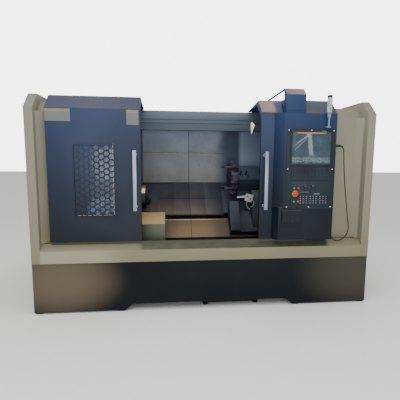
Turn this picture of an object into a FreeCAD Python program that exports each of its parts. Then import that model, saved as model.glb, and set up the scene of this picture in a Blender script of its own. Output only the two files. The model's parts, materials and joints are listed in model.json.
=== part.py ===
"""A slant-bed turning lathe: casting, enclosure, sliding doors, spindle, turret, tailstock and controls.

Millimetres. X runs along the spindle, from the headstock to the tailstock. Y runs from the doors to
the back, Z up from the floor. The origin is under the middle of the machine's box.
Along the bed a second, tilted frame is used: it turns about the spindle line, its Y climbs the slant
and its Z leaves the slant at right angles.
"""
import FreeCAD, Part
import math
import os
import Sketcher

doc = FreeCAD.newDocument("turning_lathe")
sheet = doc.addObject("Spreadsheet::Sheet", "sizes")


class Size:
    """A length or an angle: its words on the sheet, and its value."""

    def __init__(self, words, value):
        self.words = words
        self.value = float(value)

    @staticmethod
    def of(other):
        return other if isinstance(other, Size) else Size(repr(float(other)), other)

    def joined(self, sign, other, value):
        return Size(f"({self.words} {sign} {other.words})", value)

    def __add__(self, other):
        other = Size.of(other)
        return self.joined("+", other, self.value + other.value)

    def __sub__(self, other):
        other = Size.of(other)
        return self.joined("-", other, self.value - other.value)

    def __mul__(self, other):
        other = Size.of(other)
        return self.joined("*", other, self.value * other.value)

    def __truediv__(self, other):
        other = Size.of(other)
        return self.joined("/", other, self.value / other.value)

    def __radd__(self, other):
        return Size.of(other) + self

    def __rsub__(self, other):
        return Size.of(other) - self

    def __rmul__(self, other):
        return Size.of(other) * self

    def __neg__(self):
        return Size(f"(0 - {self.words})", -self.value)


def sine(angle):
    return Size(f"sin({angle.words} * 1 deg)", math.sin(math.radians(angle.value)))


def cosine(angle):
    return Size(f"cos({angle.words} * 1 deg)", math.cos(math.radians(angle.value)))


def size(name, value):
    """A driving dimension: one named cell of the sheet."""
    size.row += 1
    sheet.set(f"A{size.row}", name)
    sheet.set(f"B{size.row}", str(value))
    sheet.setAlias(f"B{size.row}", name)
    return Size(f"sizes.{name}", value)


size.row = 0

# ---------------------------------------------------------------- the whole machine
width = size("width", 3300)
front_reach = size("front_reach", 120)
cover_back = size("cover_back", 1300)
case_depth = size("case_depth", 290)
case_door = size("case_door", 22)
case_latch = size("case_latch", 18)
sheet_wall = size("sheet_wall", 3)
seat_gap = size("seat_gap", 0.3)
run_gap = size("run_gap", 8)
depth = front_reach + cover_back + case_depth + case_door + case_latch
half = width / 2
front = front_reach - depth / 2
rear = depth / 2

# ---------------------------------------------------------------- base and feet
base_height = size("base_height", 490)
base_wall = size("base_wall", 40)
base_set_back = size("base_set_back", 4)
foot_lift = size("foot_lift", 12)
foot_side = size("foot_side", 68)
foot_inset = size("foot_inset", 45)
notch_height = size("notch_height", 69)
notch_slope = size("notch_slope", 60)
notch_left = size("notch_left", -740)
notch_right = size("notch_right", 800)
tunnel_left = size("tunnel_left", -600)
tunnel_right = size("tunnel_right", 720)
tunnel_height = size("tunnel_height", 350)
base_deck = size("base_deck", 40)

# ---------------------------------------------------------------- coolant tank
tank_left = size("tank_left", -40)
tank_right = size("tank_right", 529)
tank_lift = size("tank_lift", 20)
tank_height = size("tank_height", 290)
tank_wall = size("tank_wall", 4)
tank_length = size("tank_length", 1150)
tank_nose = size("tank_nose", 45)
tank_pad = size("tank_pad", 50)

# ---------------------------------------------------------------- enclosure
wing_width = size("wing_width", 79)
wing_return = size("wing_return", 50)
wing_shoulder = size("wing_shoulder", 68)
wing_chamfer = size("wing_chamfer", 135)
wing_roof_end = size("wing_roof_end", 640)
wing_step = size("wing_step", 60)
port_radius = size("port_radius", 46)
roof_height = size("roof_height", 1988)
wing_fold = roof_height - wing_shoulder
wing_peak = wing_fold + wing_chamfer
roof_lip = size("roof_lip", 10)
sill_rise = size("sill_rise", 118)
sill_slope = size("sill_slope", 62)
sill_crest_in = size("sill_crest_in", 60)
sill_dip = size("sill_dip", 11)
sill_wall = size("sill_wall", 4)
rail_in = size("rail_in", 52)
rail_width = size("rail_width", 8)
rail_rise = size("rail_rise", 25)
sill_height = base_height + sill_rise
sill_crest = sill_height + sill_slope
sill_shelf = sill_crest - sill_dip
rail_top = sill_shelf + rail_rise
rail_sink = size("rail_sink", 22)
panel_in = size("panel_in", 110)
panel_drop = size("panel_drop", 93)
panel_fold = roof_height - panel_drop
panel_rise = size("panel_rise", 103)
panel_run = size("panel_run", 105)
panel_edge_left = size("panel_edge_left", -650)
panel_edge_right = size("panel_edge_right", 620)
panel_bevel = size("panel_bevel", 70)
beam_in = size("beam_in", 575)
beam_depth = size("beam_depth", 80)
beam_height = size("beam_height", 204)
beam_rise = size("beam_rise", 2)
beam_face = size("beam_face", 88)
beam_ledge = size("beam_ledge", 40)
beam_step = size("beam_step", 9)
beam_wall = size("beam_wall", 6)
seam_drop = size("seam_drop", 442)
wall_lap = size("wall_lap", 6)
bay_left = size("bay_left", -690)
bay_right = size("bay_right", 1150)
seam_place = size("seam_place", -128)
seam_gap = size("seam_gap", 0.5)
end_wall_lift = size("end_wall_lift", 60)
inner = half - wing_width
beam_front = front + beam_in
beam_back = beam_front + beam_depth
beam_top = roof_height + beam_rise
beam_foot = beam_top - beam_height
beam_ledge_upper = beam_top - beam_face
beam_ledge_lower = beam_ledge_upper - beam_ledge
wall_seam = roof_height - seam_drop

# ---------------------------------------------------------------- doors
door_in = size("door_in", 20)
door_thick = size("door_thick", 40)
door_wall = size("door_wall", 2.5)
door_lift = size("door_lift", 8)
door_foot = rail_top + door_lift
door_drop = size("door_drop", 70)
door_fold = roof_height - door_drop
door_rise = size("door_rise", 131)
door_peak = door_fold + door_rise
door_roof_in = size("door_roof_in", 600)
door_roof_clear = size("door_roof_clear", 7)
door_roof_end = beam_top + door_roof_clear
door_gusset = size("door_gusset", 68)
left_door_left = size("left_door_left", -1480)
left_door_width = size("left_door_width", 842)
right_door_left = size("right_door_left", 503)
right_door_width = size("right_door_width", 480)
shoe_length = size("shoe_length", 90)
shoe_width = size("shoe_width", 22)
window_left = size("window_left", -1245)
window_width = size("window_width", 363)
window_lift = size("window_lift", 245)
window_foot = door_foot + window_lift
window_height = size("window_height", 660)
window_frame = size("window_frame", 26)
hex_columns = size("hex_columns", 8)
hex_rows = size("hex_rows", 12)
hex_bar = size("hex_bar", 12)
grille_wall = size("grille_wall", 4)
pane_wall = size("pane_wall", 8)
handle_width = size("handle_width", 36)
handle_thick = size("handle_thick", 18)
handle_reach = size("handle_reach", 80)
handle_lift = size("handle_lift", 297)
handle_foot = door_foot + handle_lift
handle_height = size("handle_height", 556)
handle_leg = size("handle_leg", 34)
handle_edge = size("handle_edge", 34)
handle_edge_right = size("handle_edge_right", 24)

# ---------------------------------------------------------------- spindle line and bed
slant = size("slant", 45)
axis_in = size("axis_in", 580)
bed_drop = size("bed_drop", 300)
bed_upper = size("bed_upper", 430)
bed_lower = size("bed_lower", 430)
bed_toe = size("bed_toe", 43.81)
axis_y = front + axis_in
axis_height = base_height + bed_toe + bed_lower * sine(slant) + bed_drop * cosine(slant)
bed_left = size("bed_left", -1250)
bed_right = size("bed_right", 1300)
bed_back = size("bed_back", 1180)
bed_wall = size("bed_wall", 55)
way_upper = size("way_upper", 340)
way_lower = size("way_lower", -20)
way_tail = size("way_tail", -118)
way_width = size("way_width", 35)
way_height = size("way_height", 38)
tail_way_width = size("tail_way_width", 28)
tail_way_height = size("tail_way_height", 30)

# ---------------------------------------------------------------- headstock and spindle
head_left = size("head_left", -1180)
head_right = size("head_right", -745)
head_half = size("head_half", 190)
head_top = size("head_top", 165)
head_bevel = size("head_bevel", 60)
turned_sides = size("turned_sides", 48)
round_sides = size("round_sides", 16)
spindle_radius = size("spindle_radius", 62)
spindle_bore = size("spindle_bore", 31)
spindle_tail = size("spindle_tail", -1310)
nose_radius = size("nose_radius", 92)
pulley_radius = size("pulley_radius", 105)
pulley_teeth = size("pulley_teeth", 24)
pulley_width = size("pulley_width", 80)
pulley_rim = size("pulley_rim", 6)
belt_wall = size("belt_wall", 8)
belt_width = size("belt_width", 66)
chuck_radius = size("chuck_radius", 127)
chuck_length = size("chuck_length", 100)
chuck_face = size("chuck_face", -625)
jaw_width = size("jaw_width", 34)
jaw_inner = size("jaw_inner", 44)
jaw_outer = size("jaw_outer", 118)
jaw_step = size("jaw_step", 74)
jaw_step_out = size("jaw_step_out", 22)
jaw_reach = size("jaw_reach", 42)
jaw_key = size("jaw_key", 14)
motor_in = size("motor_in", 330)
motor_half = size("motor_half", 140)
motor_length = size("motor_length", 430)
motor_bevel = size("motor_bevel", 34)
motor_shaft = size("motor_shaft", 24)
motor_gap = size("motor_gap", 14)

# ---------------------------------------------------------------- way covers, carriage and turret
cover_top = size("cover_top", 215)
cover_wall = size("cover_wall", 2)
cover_gap = size("cover_gap", 0.4)
cover_upper = size("cover_upper", 403)
cover_lower = size("cover_lower", -88)
cover_skirt = size("cover_skirt", 24)
wall_gap = size("wall_gap", 13)
wall_foot_gap = size("wall_foot_gap", 1)
wall_in = axis_in + (cover_upper + cover_top) * cosine(slant) + wall_gap
wall_foot = axis_height + (cover_upper - cover_top) * sine(slant) + wall_foot_gap
cover_length = size("cover_length", 208)
cover_count = size("cover_count", 5)
carriage_left = size("carriage_left", 260)
carriage_length = size("carriage_length", 380)
carriage_top = size("carriage_top", 206)
carriage_lower = size("carriage_lower", -72)
carriage_upper = size("carriage_upper", 392)
right_cover_length = size("right_cover_length", 500)
screw_place = size("screw_place", 160)
screw_radius = size("screw_radius", 15)
screw_lift = size("screw_lift", 19)
screw_left = size("screw_left", -640)
screw_right = size("screw_right", 1220)
screw_block = size("screw_block", 60)
screw_block_height = size("screw_block_height", 36)
slide_left = size("slide_left", 440)
slide_length = size("slide_length", 190)
slide_lower = size("slide_lower", 100)
slide_upper = size("slide_upper", 385)
slide_top = size("slide_top", 130)
slide_way = size("slide_way", 12)
slide_way_width = size("slide_way_width", 30)
slide_way_reach = size("slide_way_reach", 150)
turret_place = size("turret_place", 300)
turret_half = size("turret_half", 108)
turret_bevel = size("turret_bevel", 30)
turret_length = size("turret_length", 250)
turret_right = slide_left + turret_length
turret_motor_side = size("turret_motor_side", 116)
turret_motor_length = size("turret_motor_length", 150)
disc_left = size("disc_left", 342)
disc_width = size("disc_width", 82)
disc_right = disc_left + disc_width
disc_across = size("disc_across", 148)
disc_neck = size("disc_neck", 70)
stations = size("stations", 8)
tool_length = size("tool_length", 50)
tool_width = size("tool_width", 56)
tool_depth = size("tool_depth", 74)
bar_radius = size("bar_radius", 14)
bar_reach = size("bar_reach", 86)
pipe_radius = size("pipe_radius", 8)
pipe_rise = size("pipe_rise", 60)
pipe_turn = size("pipe_turn", 26)
pipe_reach = size("pipe_reach", 90)
pipe_pitch = size("pipe_pitch", 60)

# ---------------------------------------------------------------- tailstock
tail_left = size("tail_left", 300)
tail_length = size("tail_length", 600)
tail_right = tail_left + tail_length
tail_clear = size("tail_clear", 7)
tail_foot_lower = size("tail_foot_lower", -378)
tail_foot_upper = size("tail_foot_upper", -95)
tail_foot_top = size("tail_foot_top", 150)
cheek_length = size("cheek_length", 110)
cheek_low = size("cheek_low", 118)
cheek_top = size("cheek_top", 45)
cheek_run = size("cheek_run", 60)
tail_body_left = size("tail_body_left", 560)
tail_barrel = size("tail_barrel", 68)
tail_column = size("tail_column", 54)
tail_neck_width = size("tail_neck_width", 40)
quill_radius = size("quill_radius", 36)
quill_in = size("quill_in", 20)
quill_left = tail_body_left - quill_in
quill_length = size("quill_length", 290)
quill_right = quill_left + quill_length
quill_travel = size("quill_travel", 20)
centre_tip = size("centre_tip", 431)
centre_radius = size("centre_radius", 42)
centre_cone = size("centre_cone", 40)
centre_shoulder = size("centre_shoulder", 21)
centre_point = size("centre_point", 1)
apron_upper = size("apron_upper", -148)
apron_edge = size("apron_edge", 37)
apron_lower = apron_edge - bed_lower
apron_drop = size("apron_drop", 222)
guard_in = size("guard_in", 300)
guard_right = size("guard_right", -420)
guard_drop = size("guard_drop", 250)
guard_rise = size("guard_rise", 100)
guard_front_top = axis_height - guard_drop
guard_top = guard_front_top + guard_rise
guard_depth = size("guard_depth", 150)
lamp_left = size("lamp_left", 519)
lamp_width = size("lamp_width", 77)
lamp_right = lamp_left + lamp_width
lamp_point_in = size("lamp_point_in", 22)
lamp_point = lamp_left + lamp_point_in
lamp_rise = size("lamp_rise", 95)
lamp_head = beam_foot + lamp_rise
lamp_side_rise = size("lamp_side_rise", 60)
lamp_side = beam_foot + lamp_side_rise
lamp_hang = size("lamp_hang", 32)
lamp_foot = beam_foot - lamp_hang
lamp_depth = size("lamp_depth", 48)

# ---------------------------------------------------------------- control cabinet
cabinet_out = size("cabinet_out", 60)
cabinet_left = size("cabinet_left", 713)
cabinet_left_low = size("cabinet_left_low", 670)
cabinet_flank = size("cabinet_flank", 628)
cabinet_width = size("cabinet_width", 505)
cabinet_right = cabinet_left + cabinet_width
cabinet_foot = door_foot
cabinet_belly = size("cabinet_belly", 322)
cabinet_break = cabinet_foot + cabinet_belly
cabinet_drop = size("cabinet_drop", 83)
cabinet_fold = roof_height - cabinet_drop
cabinet_chamfer = size("cabinet_chamfer", 141)
cabinet_peak = cabinet_fold + cabinet_chamfer
cabinet_back = size("cabinet_back", 12)
cabinet_deep_left = size("cabinet_deep_left", 1000)
flank_rise = size("flank_rise", 3)
flank_top = cabinet_fold + flank_rise
tower_width = size("tower_width", 191)
tower_right = cabinet_left + tower_width
tower_rise = size("tower_rise", 93)
tower_peak = cabinet_peak + tower_rise
tower_chamfer = size("tower_chamfer", 65)
tower_fold = tower_peak - tower_chamfer
tower_sag = size("tower_sag", 16)
tower_roof_in = size("tower_roof_in", 690)
rail_deep = size("rail_deep", 14)
rail_wide = size("rail_wide", 18)
plate_margin = size("plate_margin", 15)
plate_left = cabinet_left + plate_margin
plate_width = size("plate_width", 476)
plate_right = plate_left + plate_width
plate_drop = size("plate_drop", 141)
plate_head = cabinet_fold - plate_drop
plate_height = size("plate_height", 764)
plate_foot = plate_head - plate_height
plate_wall = size("plate_wall", 4)
screen_in = size("screen_in", 54)
screen_left = plate_left + screen_in
screen_width = size("screen_width", 378)
screen_right = screen_left + screen_width
screen_drop = size("screen_drop", 29)
screen_head = plate_head - screen_drop
screen_height = size("screen_height", 305)
screen_foot = screen_head - screen_height
bezel = size("bezel", 16)
bezel_wall = size("bezel_wall", 6)
glass_wall = size("glass_wall", 3)
keys_left = screen_left
keys_width = size("keys_width", 386)
keys_right = keys_left + keys_width
keys_drop = size("keys_drop", 26)
keys_head = screen_foot - keys_drop
keys_height = size("keys_height", 126)
keys_foot = keys_head - keys_height
keys_wall = size("keys_wall", 7)
keys_rim = size("keys_rim", 12)
key_cap = size("key_cap", 3)
key_gap = size("key_gap", 7)
key_columns = size("key_columns", 10)
key_rows = size("key_rows", 4)
panel_margin = size("panel_margin", 56)
panel_left = plate_left + panel_margin
panel_width = size("panel_width", 376)
panel_right = panel_left + panel_width
panel_gap = size("panel_gap", 14)
panel_head = keys_foot - panel_gap
panel_height = size("panel_height", 224)
panel_foot = panel_head - panel_height
panel_wall = size("panel_wall", 5)
stop_in = size("stop_in", 44)
stop_place = panel_left + stop_in
stop_lift = size("stop_lift", 106)
stop_height = panel_foot + stop_lift
stop_radius = size("stop_radius", 30)
stop_ring = size("stop_ring", 26)
stop_ring_wall = size("stop_ring_wall", 3)
stop_bore = size("stop_bore", 28)
stop_travel = size("stop_travel", 6)
stop_cap = size("stop_cap", 18)
button_in = size("button_in", 29)
button_left = panel_left + button_in
button_pitch = size("button_pitch", 40)
button_high = size("button_high", 160)
button_upper = panel_foot + button_high
button_low = size("button_low", 31)
button_lower = panel_foot + button_low
button_side = size("button_side", 24)
button_cap = size("button_cap", 9)
button_travel = size("button_travel", 3)
button_bore = size("button_bore", 16)
button_stem = size("button_stem", 1.5)
stem_pocket = size("stem_pocket", 12)
knob_in = size("knob_in", 128)
knob_place = panel_left + knob_in
knob_pitch = size("knob_pitch", 74)
knob_lift = size("knob_lift", 176)
knob_height = panel_foot + knob_lift
knob_radius = size("knob_radius", 17)
knob_cap = size("knob_cap", 16)
knob_sides = size("knob_sides", 12)
knob_rib = size("knob_rib", 8)
knob_rib_rise = size("knob_rib_rise", 6)
box_out_left = size("box_out_left", 28)
box_left = plate_left - box_out_left
box_width = size("box_width", 200)
box_right = box_left + box_width
box_gap = size("box_gap", 10)
box_head = plate_foot - box_gap
box_height = size("box_height", 129)
box_foot = box_head - box_height
box_out = size("box_out", 14)
box_slot = size("box_slot", 46)
mast_in = size("mast_in", 87)
mast_place = plate_right - mast_in
mast_lift = size("mast_lift", 6)
mast_foot = plate_head + mast_lift
mast_radius = size("mast_radius", 9)
mast_block = size("mast_block", 18)
lens_radius = size("lens_radius", 24)
lens_lift = size("lens_lift", 144)
lens_foot = mast_foot + lens_lift
lens_height = size("lens_height", 48)
lens_socket = size("lens_socket", 54)
lens_count = size("lens_count", 3)
lens_cap = size("lens_cap", 12)
gland_drop = size("gland_drop", 156)
gland_height = plate_head - gland_drop
gland_in = size("gland_in", -14)
gland_radius = size("gland_radius", 11)
gland_length = size("gland_length", 50)
gland_sides = size("gland_sides", 6)
lead_radius = size("lead_radius", 4.5)
tube_sides = size("tube_sides", 6)
socket_lift = size("socket_lift", 140)
socket_height = cabinet_foot + socket_lift
socket_in = size("socket_in", 22)

# ---------------------------------------------------------------- electric cabinet at the back
case_in = size("case_in", 500)
case_left = case_in - half
case_width = size("case_width", 900)
case_lift = size("case_lift", 70)
case_foot = base_height + case_lift
case_height = size("case_height", 1250)
case_wall = size("case_wall", 3)
case_latch_width = size("case_latch_width", 26)
case_latch_height = size("case_latch_height", 160)
case_plate = size("case_plate", 60)
hinge_radius = size("hinge_radius", 8)
hinge_height = size("hinge_height", 45)
hinge_leaf = size("hinge_leaf", 40)
hinge_low = size("hinge_low", 190)
hinge_drop = size("hinge_drop", 250)
hinge_high = case_height - hinge_drop
hinge_sides = size("hinge_sides", 8)
drive_height = size("drive_height", 300)
drive_width = size("drive_width", 130)
drive_clear = size("drive_clear", 130)
drive_count = size("drive_count", 4)
drive_lift = size("drive_lift", 625)

doc.recompute()

XY, XZ, YZ = "XY_Plane", "XZ_Plane", "YZ_Plane"
nodes = {}


def bind(thing, **lengths):
    """Ties an object's sizes to the sheet."""
    for name, length in lengths.items():
        thing.setExpression(name, Size.of(length).words)


def place(thing, x, y, z):
    """Puts an object's corner or centre at a point."""
    for letter, length in zip("xyz", (x, y, z)):
        thing.setExpression(f".Placement.Base.{letter}", Size.of(length).words)


def box(x0, x1, y0, y1, z0, z1):
    """A block between two corners."""
    thing = doc.addObject("Part::Box", "block")
    bind(thing, Length=x1 - x0, Width=y1 - y0, Height=z1 - z0)
    place(thing, x0, y0, z0)
    return thing


def square_bar(side, x, y0, y1, z):
    """A square block along Y about a line, given by its side."""
    return box(x - side / 2, x + side / 2, y0, y1, z - side / 2, z + side / 2)


turns = {"X": FreeCAD.Rotation(FreeCAD.Vector(0, 1, 0), 90),
         "Y": FreeCAD.Rotation(FreeCAD.Vector(1, 0, 0), -90),
         "Z": FreeCAD.Rotation()}


def rod(direction, radius, length, x, y, z):
    """A round bar that starts at a point and runs along X, Y or Z."""
    thing = doc.addObject("Part::Cylinder", "rod")
    thing.Placement = FreeCAD.Placement(FreeCAD.Vector(), turns[direction])
    bind(thing, Radius=radius, Height=length)
    place(thing, x, y, z)
    return thing


def prism(direction, sides, radius, length, x, y, z):
    """A regular many-sided bar that starts at a point and runs along X, Y or Z."""
    thing = doc.addObject("Part::Prism", "prism")
    thing.Placement = FreeCAD.Placement(FreeCAD.Vector(), turns[direction])
    bind(thing, Polygon=sides, Circumradius=radius, Height=length)
    place(thing, x, y, z)
    return thing


def fuse(*things):
    thing = doc.addObject("Part::MultiFuse", "joined")
    thing.Shapes = list(things)
    thing.Refine = True
    return thing


def cut(base, *tools):
    """One solid less others."""
    thing = doc.addObject("Part::Cut", "cut")
    thing.Base = base
    thing.Tool = tools[0] if len(tools) == 1 else fuse(*tools)
    thing.Refine = True
    return thing


def together(*things):
    """Separate solids kept in one node."""
    thing = doc.addObject("Part::Compound", "group")
    thing.Links = list(things)
    return thing


def outline(body, plane, points, start):
    """A closed sketch of straight runs, on one of the body's own planes, moved along its normal."""
    sketch = body.newObject("Sketcher::SketchObject", "outline")
    origin = [f for f in body.Origin.OriginFeatures if f.Role == plane][0]
    sketch.AttachmentSupport = [(origin, "")]
    sketch.MapMode = "FlatFace"
    sketch.setExpression(".AttachmentOffset.Base.z", Size.of(start).words)
    corners = [(Size.of(a), Size.of(b)) for a, b in points]
    vectors = [FreeCAD.Vector(a.value, b.value, 0) for a, b in corners]
    count = len(corners)
    for index in range(count):
        run = Part.LineSegment(vectors[index], vectors[(index + 1) % count])
        sketch.addGeometry(run, False)
    for index in range(count):
        sketch.addConstraint(Sketcher.Constraint("Coincident", index, 2, (index + 1) % count, 1))
    for index, corner in enumerate(corners):
        for kind, length in zip(("DistanceX", "DistanceY"), corner):
            rule = Sketcher.Constraint(kind, -1, 1, index, 1, length.value)
            number = sketch.addConstraint(rule)
            sketch.setExpression(f"Constraints[{number}]", length.words)
    return sketch


def feature(body, kind, plane, points, start, length):
    """A pad or a pocket of an outline, along the plane's own normal."""
    thing = body.newObject(f"PartDesign::{kind}", kind.lower())
    thing.Profile = outline(body, plane, points, start)
    if kind == "Pocket":
        thing.Reversed = True
    bind(thing, Length=length)
    return thing


def new_body(tilted=False):
    """An empty body, upright or turned about the spindle line onto the slant."""
    body = doc.addObject("PartDesign::Body", "piece")
    if tilted:
        body.Placement.Rotation = FreeCAD.Rotation(FreeCAD.Vector(1, 0, 0), slant.value)
        body.setExpression(".Placement.Rotation.Angle", slant.words)
        place(body, 0, axis_y, axis_height)
    return body


def run_along_x(points, x0, x1, tilted=False):
    """A section in the Y and Z plane, run along X."""
    body = new_body(tilted)
    feature(body, "Pad", YZ, points, x0, x1 - x0)
    return body


def hollow_along_x(body, points, x0, x1):
    feature(body, "Pocket", YZ, points, x0, x1 - x0)


def run_up(points, z0, z1):
    """A section in the X and Y plane, run up."""
    body = new_body()
    feature(body, "Pad", XY, points, z0, z1 - z0)
    return body


def node(name, thing):
    """Names a finished sub-part."""
    thing.Label = name
    nodes[name] = thing
    return thing


def rectangle(a0, a1, b0, b1):
    return [(a0, b0), (a1, b0), (a1, b1), (a0, b1)]


# The XZ plane's normal points towards -Y, so a place along it is counted from the back.
def run_back(points, y0, y1):
    """A section in the X and Z plane, run from y0 back to y1."""
    body = new_body()
    feature(body, "Pad", XZ, points, -y1, y1 - y0)
    return body


def hollow_back(body, points, y0, y1):
    feature(body, "Pocket", XZ, points, -y1, y1 - y0)


# ================================================================ base
def make_base():
    """Cast base: an open-bottomed box with a deep tunnel for the tank and two lift slots."""
    y0 = front + base_set_back
    y1 = front + cover_back
    shape = [(-half, foot_lift), (notch_left - notch_slope, foot_lift), (notch_left, notch_height),
             (notch_right, notch_height), (notch_right + notch_slope, foot_lift), (half, foot_lift),
             (half, base_height), (-half, base_height)]
    body = run_back(shape, y0, y1)
    inside = y0 + base_wall
    hollow_back(body, rectangle(tunnel_left, tunnel_right, 0, tunnel_height), inside, y1)
    ceiling = base_height - base_deck
    back = y1 - base_wall
    left = rectangle(-half + base_wall, tunnel_left - base_wall, 0, ceiling)
    right = rectangle(tunnel_right + base_wall, half - base_wall, 0, ceiling)
    hollow_back(body, left, inside, back)
    hollow_back(body, right, inside, back)
    node("base_casting", body)


def make_feet():
    """Levelling pads under the corners of the base."""
    near = front + base_set_back + foot_inset
    far = front + cover_back - foot_inset
    inner_left = notch_left - notch_slope - foot_inset
    inner_right = notch_right + notch_slope + foot_inset
    places = []
    for x in (foot_inset - half, inner_left, inner_right, half - foot_inset):
        for y in (near, far):
            places.append(box(x - foot_side / 2, x + foot_side / 2, y - foot_side / 2,
                              y + foot_side / 2, Size.of(0), foot_lift))
    node("levelling_feet", together(*places))


def make_tank():
    """Coolant tank under the chips: an open tray on four pads, with a raked front."""
    y0 = front + base_set_back + base_wall + seat_gap
    y1 = y0 + tank_length
    top = tank_lift + tank_height
    shape = [(y0 + tank_nose, tank_lift), (y1, tank_lift), (y1, top), (y0, top),
             (y0, tank_lift + tank_nose)]
    body = run_along_x(shape, tank_left, tank_right)
    hollow = [(y0 + tank_nose, tank_lift + tank_wall), (y1 - tank_wall, tank_lift + tank_wall),
              (y1 - tank_wall, top), (y0 + tank_wall, top),
              (y0 + tank_wall, tank_lift + tank_nose)]
    hollow_along_x(body, hollow, tank_left + tank_wall, tank_right - tank_wall)
    pads = []
    for x in (tank_left, tank_right - tank_pad):
        for y in (y0 + tank_nose, y1 - tank_pad):
            pads.append(box(x, x + tank_pad, y, y + tank_pad, Size.of(0), tank_lift))
    node("coolant_tank", fuse(body, *pads))


# ================================================================ enclosure
def make_end_cover(name, side):
    """End cover: an outer skin, an edge all round and a folded lip towards the machine.

    The left one has a round port on the spindle line, through which bar stock is fed.
    """
    def ring(inset):
        low = base_height + inset
        back = front + cover_back - inset
        near = front + inset
        peak = wing_peak - inset
        step = roof_height + roof_lip - inset
        return [(near, low), (near, wing_fold), (near + wing_chamfer, peak),
                (front + wing_roof_end, peak), (front + wing_roof_end + wing_step, step),
                (back, step), (back, low)]

    start = -half if side == "left" else half - sheet_wall
    edge = sheet_wall - half if side == "left" else inner + sheet_wall
    lip = -inner - sheet_wall if side == "left" else inner
    body = new_body()
    feature(body, "Pad", YZ, ring(0), start, sheet_wall)
    feature(body, "Pad", YZ, ring(0), edge, wing_width - sheet_wall * 2)
    feature(body, "Pocket", YZ, ring(sheet_wall), edge, wing_width - sheet_wall * 2)
    feature(body, "Pad", YZ, ring(0), lip, sheet_wall)
    feature(body, "Pocket", YZ, rectangle(front + panel_in + wing_return, front + cover_back - wing_return,
                                          base_height + wing_return, panel_fold - wing_return),
            lip, sheet_wall)
    if side == "left":
        port = prism("X", round_sides, port_radius, wing_width, -half - sheet_wall, axis_y, axis_height)
        body = cut(body, port)
    node(name, body)


def make_sill():
    """Front sill under the doors: a hollow sloped ledge that carries the lower door rail."""
    y0 = front
    y1 = front + panel_in
    crest = front + sill_crest_in
    shape = [(y0, base_height), (y1, base_height), (y1, sill_shelf), (crest, sill_crest),
             (y0, sill_height)]
    body = run_along_x(shape, -inner, inner)
    hollow = [(y0 + sill_wall, base_height + sill_wall), (y1 - sill_wall, base_height + sill_wall),
              (y1 - sill_wall, sill_shelf - sill_wall), (crest, sill_crest - sill_wall * 2),
              (y0 + sill_wall, sill_height - sill_wall)]
    hollow_along_x(body, hollow, sill_wall * 2 - inner, inner - sill_wall * 2)
    middle = front + rail_in
    right = right_door_left + right_door_width
    rail = box(left_door_left, right, middle - rail_width / 2, middle + rail_width / 2,
               sill_crest - rail_sink, rail_top)
    node("front_sill", fuse(body, rail))


def make_fixed_panel(name, x0, x1, side):
    """Fixed front panel behind the doors: folded face, slope and roof, with an angled end strip."""
    y0 = front + panel_in
    slope = y0 + panel_run
    peak = panel_fold + panel_rise
    roof = roof_height
    shape = [(y0, sill_shelf), (y0 + sheet_wall, sill_shelf), (y0 + sheet_wall, panel_fold - sheet_wall),
             (slope, peak - sheet_wall), (beam_front, roof - sheet_wall), (beam_front, roof),
             (slope, peak), (y0, panel_fold)]
    body = run_along_x(shape, x0, x1)
    near = front + wing_return
    if side == "left":
        strip = [(x0, near), (x0 + sheet_wall, near), (x0 + panel_bevel, y0), (x0, y0)]
    else:
        strip = [(x1, near), (x1, y0), (x1 - panel_bevel, y0), (x1 - sheet_wall, near)]
    end = run_up(strip, sill_crest, panel_fold - sheet_wall)
    node(name, fuse(body, end))


def make_beam():
    """Rear rail of the doors: a hollow beam with two ledges towards the front."""
    low = beam_front + beam_step * 2
    shape = [(low, beam_foot), (beam_back, beam_foot), (beam_back, beam_top), (beam_front, beam_top),
             (beam_front, beam_ledge_upper), (beam_front + beam_step, beam_ledge_upper),
             (beam_front + beam_step, beam_ledge_lower), (low, beam_ledge_lower)]
    body = run_along_x(shape, -inner, inner)
    wall = beam_wall
    hollow = rectangle(low + wall, beam_back - wall, beam_foot + wall, beam_top - wall)
    hollow_along_x(body, hollow, wall - inner, inner - wall)
    node("rear_beam", body)


def make_back_wall():
    """Inner back wall of bright sheet, lapped at a seam, with the right end wall folded on."""
    y0 = front + wall_in
    y1 = y0 + sheet_wall
    roof = roof_height - sheet_wall
    shape = [(y0, wall_foot), (y1, wall_foot), (y1, wall_seam), (y1, roof),
             (y1 - wall_lap, roof), (y1 - wall_lap, wall_seam - wall_lap), (y0, wall_seam - wall_lap)]
    end_left = bay_right - sheet_wall
    left = run_along_x(shape, bay_left, seam_place - seam_gap / 2)
    right = run_along_x(shape, seam_place + seam_gap / 2, bay_right)
    end = run_along_x(bay_end_outline(end_wall_lift), end_left, bay_right)
    node("back_wall", together(left, fuse(right, end)))


def bay_end_outline(lift):
    """Side outline of the working space, a lift above the bed, on the base, under the roof."""
    near = front + panel_in + sheet_wall
    far = front + wall_in + sheet_wall
    toe_y = axis_y - bed_lower * cosine(slant) + bed_drop * sine(slant)
    toe_z = axis_height - bed_lower * sine(slant) - bed_drop * cosine(slant)
    far_z = toe_z + (far - toe_y) * sine(slant) / cosine(slant) + lift
    slope = near + panel_run
    under = roof_height - sheet_wall
    return [(near, base_height), (toe_y - lift, base_height), (toe_y - lift, toe_z + lift),
            (far, far_z), (far, under), (beam_back, under), (beam_back, beam_foot),
            (beam_front, beam_foot), (beam_front, under - sheet_wall),
            (slope, under - sheet_wall), (near, panel_fold - sheet_wall * 2)]


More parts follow.
